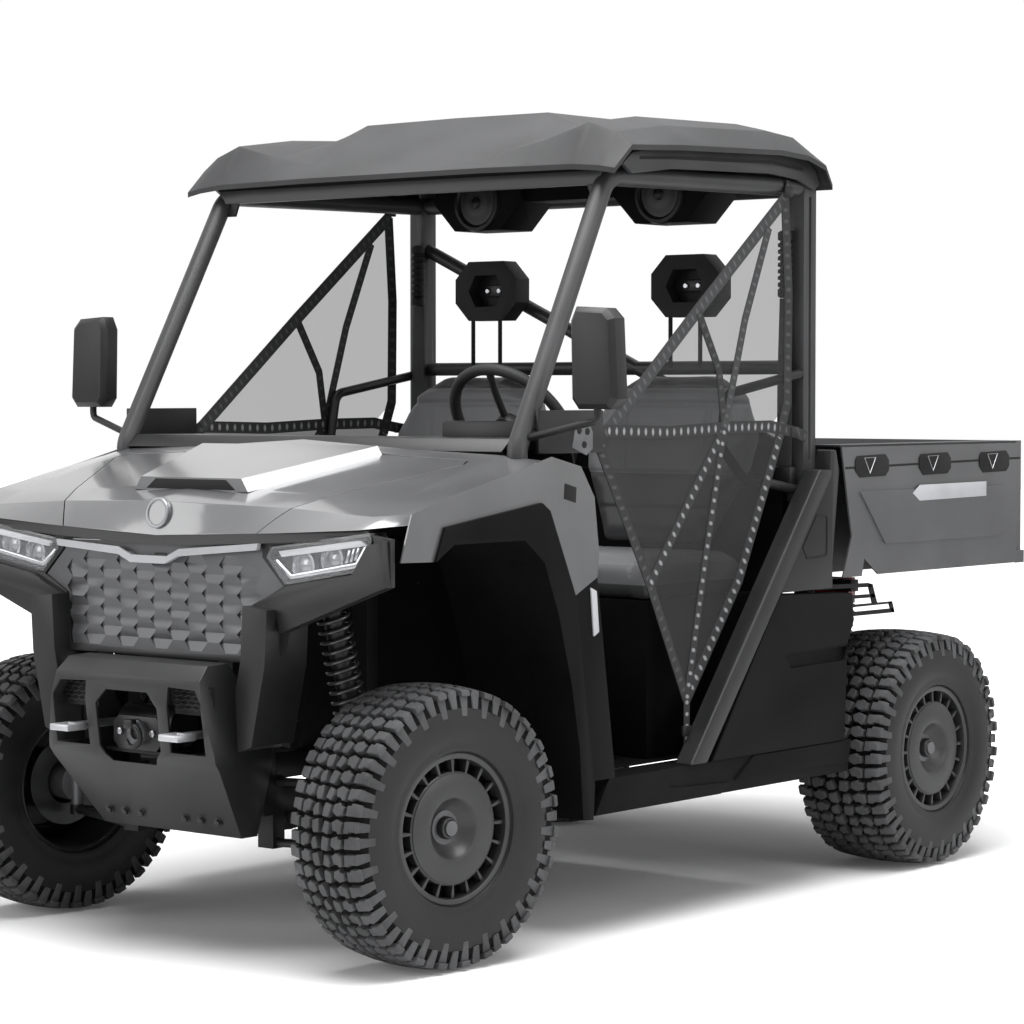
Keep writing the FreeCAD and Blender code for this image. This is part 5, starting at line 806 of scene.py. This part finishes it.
for number, turn in enumerate((0.0, math.pi, -math.pi / 2)):
    way = Vector((1, 0, 0)) * math.cos(turn) + wheel_down * math.sin(turn)
    rod(f"steering_spoke_{number}", [wheel_middle - wheel_axis * 0.014 + way * 0.03,
        wheel_middle - wheel_axis * 0.01 + way * 0.1, wheel_middle + way * 0.164], 0.0098, satin_black, sides=3,
        body="steering_wheel")
block("instrument_panel", (0.25, front_axle + 0.5, 1.196), (0.49, front_axle + 0.536, 1.262), satin_black, 0.01)
block("instrument_screen", (0.275, front_axle + 0.534, 1.208), (0.465, front_axle + 0.54, 1.252), screen_glass, 0.002)
for number in range(6):
    block(f"dash_switch_{number}", (-0.1 + number * 0.036, front_axle + 0.553, 1.15),
        (-0.074 + number * 0.036, front_axle + 0.563, 1.172), trim_and_shade_black, 0.002)
block("glove_box_lid", (-0.52, front_axle + 0.552, 1.118), (-0.2, front_axle + 0.562, 1.15), black_moulding, 0.003)
for number, x in enumerate((0.24, 0.4)):
    rod(f"pedal_arm_{number}", [(x, front_axle + 0.43, 0.86), (x, front_axle + 0.5, 0.68),
        (x, front_axle + 0.565, 0.56)], 0.008, frame_coat)
    outline_plate(f"pedal_pad_{number}", [(x - 0.04, front_axle + 0.566, 0.52), (x + 0.04, front_axle + 0.566, 0.52),
        (x + 0.035, front_axle + 0.546, 0.612), (x - 0.035, front_axle + 0.546, 0.612)], (0, 0.012, 0.003),
        boot_rubber, 0.003)


# Roll cage and restraint bars: bent round tube, welded and powder coated, with flat gussets at the
# header, and side struts of folded sheet down to the sills.
cage_coat = coated("cage_grey", 0.034, 0.046, 0.4, depth=0.0002, shine=0.35)
dressed("roll_cage", cage_coat, edge=0.002)
dressed("restraint_bars", satin_black, edge=0.0)
strut_plastic = coated("strut_charcoal", 0.013, 0.02, 0.4, depth=0.0004, shine=0.25)
dressed("door_struts", strut_plastic, edge=0.006)


# Hard roof: a vacuum formed lid in matte grey with raised side ribs and a visor lip, screwed to
# the cage. Two speaker pods with pierced steel grilles hang under its rear.
roof_skin = coated("roof_matte", 0.028, 0.038, 0.52, grain=1400, depth=0.001, shine=0.2)
dressed("roof", roof_skin, edge=0.004, angle=12)
dressed("speaker_pods", black_moulding, edge=0.01)
# A near-black strip across the header under the visor lip is painted shade: it darkens the gap between the visor and
# the header tube.
block("visor_shade_strip", (-0.655, front_axle + 0.64, 1.868), (0.655, front_axle + 0.664, 1.917), trim_and_shade_black, 0.003)
skirt = [(0.652, 1.895), (0.69, 1.925), (0.855, 1.955), (1.295, 1.975), (1.425, 1.965), (1.5, 1.932), (1.528, 1.89),
    (1.5, 1.872), (1.42, 1.896), (1.295, 1.905), (0.86, 1.893), (0.69, 1.872)]
flank_plates("roof_skirt", 0.698, skirt, 0.012, cage_coat, 0.003)
flank_plates("roof_seal", 0.7098, ((0.72, 1.917), (0.86, 1.925), (1.295, 1.939), (1.44, 1.928), (1.44, 1.92),
    (1.295, 1.931), (0.86, 1.917), (0.72, 1.909)), 0.0016, trim_and_shade_black, 0.0)
mesh_steel, tree, shader = blank("pierced_grille")
where = node(tree, "TexCoord")
dots = node(tree, "TexVoronoi", Scale=260, Randomness=0.0)
pierced = ramp(tree, (0.3, (0.003, 0.003, 0.003)), (0.4, (0.04, 0.04, 0.042)))
wire(tree, (where, "Object", dots, "Vector"), (dots, "Distance", pierced, "Fac"),
    (pierced, "Color", shader, "Base Color"))
fill(shader, Roughness=0.4, Metallic=0.4)
for side, word in both_sides:
    middle = (0.322 * side, front_axle + 1.33, 1.87)
    turned("speaker_ring_" + word, [(-0.002, 0.062), (0.006, 0.064), (0.01, 0.07), (0.008, 0.079), (-0.002, 0.082)],
        middle, (0, -1, 0), satin_black, 56)
    turned("speaker_grille_" + word, [(0.001, 0.066), (0.004, 0.05), (0.007, 0.025), (0.008, 0.0)], middle,
        (0, -1, 0), mesh_steel, 56, 60)
    turned("speaker_cap_" + word, [(0.007, 0.018), (0.011, 0.015), (0.013, 0.0)], middle, (0, -1, 0), satin_black, 32,
        60)


# Mirrors: black moulded shells on short arms from the front posts, with a glass set into the rear.
dressed("mirrors", satin_black, edge=0.004)
mirror_glass = coated("mirror_glass", 0.8, 0.85, 0.02, metal=1.0, depth=0.0)
for side, word in both_sides:
    shell = [(-0.058, 1.31), (0.052, 1.31), (0.06, 1.33), (0.053, 1.508), (0.04, 1.522), (-0.05, 1.522),
        (-0.06, 1.505), (-0.062, 1.33)]
    outline_plate("mirror_glass_" + word, [((0.863 + x) * side, front_axle + 0.3745, z) for x, z in shell],
        (0, 0.0016, 0), mirror_glass, 0.0005)


# Seats: foam cushions and backs in grey grained vinyl, sewn from panels, on the moulded base. The
# backs have a dark top band and a dark lower panel, with channels sewn between them.
def vinyl(name, bands, low_z, high_z):
    """Grained vinyl whose panels differ in shade from the bottom of the piece to its top."""
    finish = coated(name, 0.1, 0.12, 0.46, depth=0.0004, shine=0.45)
    tree = finish.node_tree
    shader = shader_of(finish)
    where = node(tree, "TexCoord")
    parts = node(tree, "SeparateXYZ")
    height = node(tree, "MapRange", From_Min=low_z, From_Max=high_z)
    shades = ramp(tree, *bands)
    shades.color_ramp.interpolation = "CONSTANT"
    cells = node(tree, "TexVoronoi", Scale=420)
    cells.feature = "DISTANCE_TO_EDGE"
    grain = node(tree, "Bump", Strength=0.4, Distance=0.0006)
    wire(tree, (where, "Object", parts, 0), (parts, "Z", height, "Value"), (height, "Result", shades, "Fac"),
        (shades, "Color", shader, "Base Color"), (where, "Object", cells, "Vector"),
        (cells, "Distance", grain, "Height"), (grain, "Normal", shader, "Normal"))
    return finish


def stuffed(piece, voxel, cap, floor_z):
    """Swell a pad by cloth simulation, with its travel capped and its underside kept flat."""
    only(piece)
    altered(piece, "skin", "REMESH", mode="VOXEL", voxel_size=voxel)
    start = [vertex.co.copy() for vertex in piece.data.vertices]
    stuffing = piece.modifiers.new("stuffing", "CLOTH")
    stuffing.settings.use_pressure = True
    stuffing.settings.uniform_pressure_force = 4
    stuffing.settings.effector_weights.gravity = 0
    for number in range(1, 21):
        bpy.context.scene.frame_set(number)
    bpy.ops.object.modifier_apply(modifier="stuffing")
    bpy.context.scene.frame_set(1)
    for vertex, first in zip(piece.data.vertices, start):
        travel = vertex.co - first
        if travel.length > cap:
            vertex.co = first + travel.normalized() * cap
    altered(piece, "calm", "SMOOTH", factor=0.5, iterations=8)
    for vertex in piece.data.vertices:
        vertex.co.z = max(vertex.co.z, floor_z)


def sewn(piece, lines, depth, width, flat_axis):
    """Press channels into a pad along lines, seen along one axis."""
    keep = [axis for axis in range(3) if axis != flat_axis]
    for vertex in piece.data.vertices:
        facing = vertex.normal[flat_axis]
        if (facing < 0.25 and flat_axis == 2) or (facing > -0.25 and flat_axis == 1):
            continue
        here = Vector((vertex.co[keep[0]], vertex.co[keep[1]]))
        nearest = 1.0
        for start, end in lines:
            start, end = Vector(start), Vector(end)
            along = min(max((here - start).dot(end - start) / (end - start).length_squared, 0), 1)
            nearest = min(nearest, (here - start - (end - start) * along).length)
        vertex.co -= vertex.normal * depth * math.exp(-(nearest / width) ** 2)


def pair_of(piece, name):
    """The right-hand twin of a left-hand piece."""
    twin = placed(name, piece.data.copy())
    twin.data.transform(Matrix.Diagonal((-1, 1, 1, 1)))
    twin.data.flip_normals()
    return twin


cushion_vinyl = vinyl("cushion_vinyl", [(0, 0.06), (0.35, 0.2), (0.8, 0.26)], 0.8, 0.91)
back_vinyl = vinyl("back_vinyl", [(0, 0.085), (0.42, 0.3), (0.8, 0.25), (0.885, 0.06)], 0.905, 1.4)
cushion = cube("seat_cushion_left_pad", (0.352, front_axle + 1.108, 0.848), (0.536, 0.45, 0.086))
edit_all(cushion)
bpy.ops.mesh.bevel(offset=0.022, segments=3, affect="EDGES")
close_edit()
stuffed(cushion, 0.0075, 0.022, 0.8006)
front, rear = front_axle + 0.88, front_axle + 1.34
sewn(cushion, [((0.16, front), (0.19, rear)), ((0.545, front), (0.515, rear)),
    ((0.18, front + 0.11), (0.53, front + 0.11)), ((0.19, front + 0.24), (0.52, front + 0.24))], 0.006, 0.006, 2)
shoulders = [(0.718, 1.0), (0.892, 0.89), (1.0, 0.63), (0.975, 0.44), (0.858, 0.16), (0.8, 0.0), (0.2, 0.0),
    (0.142, 0.16), (0.025, 0.44), (0.0, 0.63), (0.108, 0.89), (0.282, 1.0)]
back = polygon("seat_back_left_pad", [(0.064 + across * 0.576, front_axle + 1.243 + up * 0.12, 0.918 + up * 0.47)
    for across, up in shoulders])
edit_all(back)
bpy.ops.mesh.extrude_region_move(TRANSFORM_OT_translate={"value": (0, 0.066, 0)})
bpy.ops.mesh.select_all(action="SELECT")
bpy.ops.mesh.normals_make_consistent(inside=False)
bpy.ops.mesh.bevel(offset=0.016, segments=2, affect="EDGES")
close_edit()
stuffed(back, 0.0075, 0.014, 0.9075)
sewn(back, [((0.19, 1.343), (0.514, 1.343)), ((0.1, 1.302), (0.604, 1.302)), ((0.21, 1.302), (0.235, 1.115)),
    ((0.494, 1.302), (0.469, 1.115)), ((0.11, 1.115), (0.594, 1.115)), ((0.17, 1.02), (0.534, 1.02))], 0.006, 0.006,
    1)
for pad, right, replaced, finish in ((cushion, "seat_cushion_right_pad", "seat_cushions", cushion_vinyl),
        (back, "seat_back_right_pad", "seat_backs", back_vinyl)):
    for half in (pad, pair_of(pad, right)):
        only(half)
        altered(half, "fine", "SUBSURF", levels=1, render_levels=1)
        finished(half, finish, 60)
        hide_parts(replaced)


# Headrests: eight-sided blocks of self-skinning black foam with a six-sided pocket, on two steel
# posts, each screwed through a bracket in its pocket.
foam = coated("foam_black", 0.01, 0.018, 0.6, grain=700, depth=0.0012, shine=0.25)
dressed("headrests", foam, edge=0.007)
for side, word in both_sides:
    side_block("headrest_bracket_" + word, side, (0.315, front_axle + 1.44, 1.607),
        (0.389, front_axle + 1.4478, 1.641), satin_black, 0.003)
    for number, x in enumerate((0.331, 0.373)):
        turned(f"headrest_screw_{number}_{word}", [(0.0, 0.0085), (0.004, 0.0085), (0.006, 0.006), (0.006, 0.0)],
            (x * side, front_axle + 1.4402, 1.624), (0, -1, 0), bright_steel, 16)


# Seat belts: woven webbing from a moulded retractor on the pillar, through a folded rubber sleeve
# that stands at shoulder height.
webbing_grey = coated("webbing_grey", 0.045, 0.075, 0.7, grain=1500, depth=0.0008, shine=0.2)
sleeve = [(0.0, 0.0), (0.0, 0.013), (0.004, 0.0195), (0.022, 0.0198), (0.027, 0.014)]
for fold in range(7):
    sleeve += [(0.031 + fold * 0.0175, 0.0195), (0.04 + fold * 0.0175, 0.0195), (0.0435 + fold * 0.0175, 0.013),
        (0.047 + fold * 0.0175, 0.013)]
sleeve += [(0.155, 0.0195), (0.174, 0.0198), (0.179, 0.013), (0.18, 0.0)]
for side, word in both_sides:
    ribs = turned("belt_sleeve_" + word, sleeve, (0.65 * side, front_axle + 1.449, 1.585), (0, 0, 1), boot_rubber, 24,
        30)
    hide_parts("seat_belts")
    outline_plate("belt_webbing_" + word, [((0.65 + x) * side, front_axle + y, z) for x, y,
        z in ((-0.017, 1.449, 1.584), (0.017, 1.449, 1.584), (0.023, 1.448, 1.36), (0.023, 1.447, 1.13),
        (-0.023, 1.447, 1.13), (-0.023, 1.448, 1.36))], (0, 0.0014, 0), webbing_grey, 0.0)
    side_block("belt_retractor_" + word, side, (0.618, front_axle + 1.43, 1.075), (0.682, front_axle + 1.462, 1.135),
        satin_black, 0.006)


# Door nets: knitted mesh in a frame of woven webbing with light stitches, drawn up to the roof
# rail, down to the sill and back to the pillar by straps with buckles.
def knit(name, level, opacity):
    """Open knitted mesh: fine ribs with a soft fold pattern, part of it see-through."""
    finish = coated(name, level, level * 1.7, 0.66, grain=13, depth=0.009, shine=0.2)
    fill(shader_of(finish), Alpha=opacity, Sheen_Weight=0.05)
    return finish


knit_sheer = knit("knit_sheer", 0.014, 0.56)
knit_close = knit("knit_close", 0.01, 0.84)


def stitched(name, dark, bright, spacing):
    """Woven webbing with a row of stitches along it, laid out on the strap's own map."""
    finish = coated(name, dark, dark * 1.7, 0.62, grain=1500, depth=0.0006, shine=0.3)
    tree = finish.node_tree
    runs = node(tree, "UVMap")
    parts = node(tree, "SeparateXYZ")
    scale = node(tree, "Math", "MULTIPLY")
    scale.inputs[1].default_value = math.tau / spacing
    wave = node(tree, "Math", "SINE")
    across = node(tree, "Math", "PINGPONG")
    across.inputs[1].default_value = 0.5
    both = node(tree, "Math", "MULTIPLY")
    shades = ramp(tree, (0.14, dark), (0.32, bright))
    wire(tree, (runs, "UV", parts, 0), (parts, "X", scale, 0), (scale, 0, wave, 0), (parts, "Y", across, 0),
        (wave, 0, both, 0), (across, 0, both, 1), (both, 0, shades, "Fac"), (shades, "Color", shader_of(finish),
        "Base Color"))
    return finish


webbing_soft = stitched("webbing_soft", 0.038, 0.085, 0.026)
webbing_plain = stitched("webbing_plain", 0.02, 0.06, 0.03)
webbing_bold = stitched("webbing_bold", 0.022, 0.26, 0.03)


def strap(name, points, width, x, finish):
    """Flat webbing through points in a plane across the vehicle, its length along its own map."""
    places = [Vector((y, z)) for y, z in points]
    rows, runs, run = [], [], 0.0
    for number, place in enumerate(places):
        before = (place - places[number - 1]).normalized() if number else None
        after = (places[number + 1] - place).normalized() if number < len(places) - 1 else None
        way = ((before or after) + (after or before)).normalized()
        spread = 1 / max(way.dot(before or after), 0.5)
        across = Vector((-way.y, way.x)) * width / 2 * spread
        rows.append((place + across, place - across))
        run += (place - places[number - 1]).length if number else 0
        runs.append(run)
    mesh = bpy.data.meshes.new(name)
    mesh.from_pydata([(x, front_axle + point.x, point.y) for row in rows for point in row], [],
        [(2 * i, 2 * i + 1, 2 * i + 3, 2 * i + 2) for i in range(len(rows) - 1)])
    layer = mesh.uv_layers.new(name="length")
    for face in mesh.polygons:
        for loop in face.loop_indices:
            index = mesh.loops[loop].vertex_index
            layer.data[loop].uv = (runs[index // 2], index % 2)
    piece = placed(name, mesh)
    only(piece)
    altered(piece, "thickness", "SOLIDIFY", thickness=0.0024, offset=0)
    return finished(piece, finish)


net_x = 0.699
top_hook, front_hook, front_low, knee = (1.375, 1.844), (0.602, 1.238), (0.578, 1.187), (0.78, 0.852)
tip, hip, rear_low, rear_high = (0.936, 0.551), (1.167, 0.845), (1.352, 1.214), (1.388, 1.305)
middle_web, rear_web = (1.1, 1.241), (1.31, 1.243)
net_sheets = {"upper": ([top_hook, front_hook, middle_web, rear_web, rear_high], (0.98, 0.75), knit_sheer),
    "front": ([front_hook, front_low, knee, middle_web], (0.55, 0.52), knit_close),
    "rear": ([knee, tip, hip, rear_low, rear_web, middle_web], (0.8, 0.6), knit_close),}
net_straps = {"hypotenuse": ([top_hook, (0.985, 1.543), front_hook], 0.036, webbing_soft),
    "front_edge": ([front_hook, front_low, knee, tip], 0.03, webbing_plain),
    "rear_edge": ([tip, hip, rear_low], 0.034, webbing_bold), "rear_post": (
    [rear_low, rear_high, (1.392, 1.6), top_hook], 0.036, webbing_plain), "middle_band": ([front_hook, (0.86, 1.232),
    middle_web, rear_web, (1.352, 1.236)], 0.032, webbing_bold), "slant_web": ([knee, (0.95, 1.06), middle_web], 0.03,
    webbing_bold), "centre_web": ([tip, (1.02, 0.92), middle_web], 0.026, webbing_bold),
    "upper_web": ([(0.985, 1.535), (1.075, 1.39), middle_web], 0.026, webbing_plain),
    "upper_slant": ([middle_web, (1.19, 1.52), (1.3, 1.765)], 0.026, webbing_soft),
    "sill_strap": ([tip, (0.936, 0.402)], 0.024, webbing_bold), "roof_strap": ([top_hook, (1.392, 1.89)], 0.024,
    webbing_plain), "pillar_strap": ([(1.345, 1.238), (1.43, 1.226), (1.478, 1.214)], 0.03, webbing_plain),
    "hinge_strap": ([front_hook, (0.56, 1.215), (0.527, 1.205)], 0.034, webbing_plain),}
for side, word in both_sides:
    for part, (edge, cut, cloth) in net_sheets.items():
        net = finished(polygon(f"net_{part}_{word}", flank(net_x * side, edge)), cloth)
        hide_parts("side_nets")
    for number, (part, (route, width, weave)) in enumerate(net_straps.items()):
        strap(f"net_{part}_{word}", route, width, (net_x + number * 0.00012) * side, weave)
    for number, (y, z) in enumerate(((1.388, 1.862), (1.42, 1.227), (0.936, 0.47))):
        side_block(f"net_buckle_{number}_{word}", side, (0.6955, front_axle + y - 0.018, z - 0.014),
            (0.7045, front_axle + y + 0.018, z + 0.014), satin_black, 0.003)


# Rear cab panels: black lower moulding with a recess and a lidded pocket, and the upper moulding
# that closes the corner behind the seats.
dressed("rear_lower_panels", black_moulding, edge=0.004)
dressed("rear_upper_panels", strut_plastic, edge=0.004)
for side, word in both_sides:
    rod("pocket_seam_" + word, flank(0.7452 * side, ((1.462, 1.004), (1.506, 1.004), (1.512, 0.998), (1.512, 0.902),
        (1.505, 0.895), (1.416, 0.892), (1.396, 0.922))), 0.0026, trim_and_shade_black, closed=True)


# Load bed: a moulded tub with box rails, painted side panels with a raised field and tie-down
# recesses, and a tailgate hinged between them.
bed_plastic = coated("bed_black", 0.012, 0.02, 0.52, depth=0.001, shine=0.3)
bed_paint = coated("bed_grey", 0.08, 0.1, 0.4, metal=0.35, grain=2500, depth=0.00005, coat=0.3)
dressed("bed_tub", bed_plastic, edge=0.003, body="bed")
dressed("bed_side_panels", bed_paint, edge=0.0025, angle=8, body="bed")
gate = dressed("tailgate", bed_paint, edge=0.003, angle=8, body="tailgate")
edit_face(gate, max((face for face in gate.data.polygons if face.normal.y > 0.99), key=lambda face: face.area).index)
bpy.ops.mesh.inset(thickness=0.042, depth=0)
bpy.ops.mesh.inset(thickness=0.008, depth=0)
bpy.ops.transform.translate(value=(0, -0.007, 0))
close_edit()
smooth(gate, 8)
for number in range(11):
    block(f"bed_floor_rib_{number}", (-0.6 + number * 0.112, front_axle + 1.62, 0.8462),
        (-0.575 + number * 0.112, front_axle + 2.5, 0.85), bed_plastic, 0.0015, body="bed")
for side, word in both_sides:
    for number, y in enumerate((1.734, 2.062, 2.39)):
        plate = [(y + u, z) for u, z in ((-0.076, 1.16), (0.066, 1.163), (0.084, 1.146), (0.084, 1.118),
            (0.066, 1.103), (-0.062, 1.101), (-0.086, 1.122), (-0.086, 1.148))]
        hook = [(y + u, z) for u, z in ((-0.042, 1.154), (0.014, 1.155), (-0.014, 1.112))]
        outline_plate(f"tie_down_{number}_{word}", flank(0.7455 * side, plate), (0.0025 * side, 0, 0), trim_and_shade_black,
            0.001, body="bed")
        rod(f"tie_hook_{number}_{word}", flank(0.7475 * side, hook), 0.0024, bright_steel, closed=True, body="bed")
# A thin near-black strip along the rail break is painted shade, standing for the shadow in the groove under the rail.
flank_plates("rail_shade_line", 0.7448, ((1.602, 1.131), (2.54, 1.143), (2.54, 1.137), (1.602, 1.125)), 0.001,
    trim_and_shade_black, 0.0, body="bed")
flank_plates("panel_plate", 0.7496, ((1.938, 1.052), (1.975, 1.074), (2.338, 1.076), (2.338, 1.034), (1.975, 1.03)),
    0.0012, trim_light, 0.0004, body="bed")
block("tailgate_handle_seat", (-0.09, front_axle + 2.558, 1.072), (0.09, front_axle + 2.5615, 1.132), trim_and_shade_black,
    0.001, body="tailgate")
block("tailgate_handle", (-0.066, front_axle + 2.5605, 1.09), (0.066, front_axle + 2.566, 1.112), satin_black, 0.002,
    body="tailgate")


# Tail lamps and the slotted bracket under the bed: red lenses in black housings, and a folded
# steel bracket with slots on each side.
lamp_red = coated("lamp_red", (0.2, 0.006, 0.006), (0.3, 0.01, 0.01), 0.12, coat=0.8)
dressed("tail_lamps", lamp_red, edge=0.004)
bars = {"top": ((1.6, 0.806), (1.88, 0.8), (1.9, 0.788), (1.6, 0.794)), "end": ((1.876, 0.8), (1.9, 0.796),
    (1.925, 0.742), (1.9, 0.742)), "middle": ((1.6, 0.772), (1.912, 0.768), (1.914, 0.758), (1.6, 0.762)),
    "low": ((1.6, 0.724), (2.012, 0.722), (2.016, 0.71), (1.6, 0.712)), "foot": ((1.6, 0.744), (1.98, 0.742),
    (2.0, 0.742), (2.0, 0.736), (1.6, 0.736)), "toe": ((1.985, 0.742), (2.003, 0.742), (2.016, 0.712), (2.0, 0.712)),}
for part, edge in bars.items():
    flank_plates("tail_bracket_" + part, 0.64, edge, 0.004, frame_coat, 0.0)
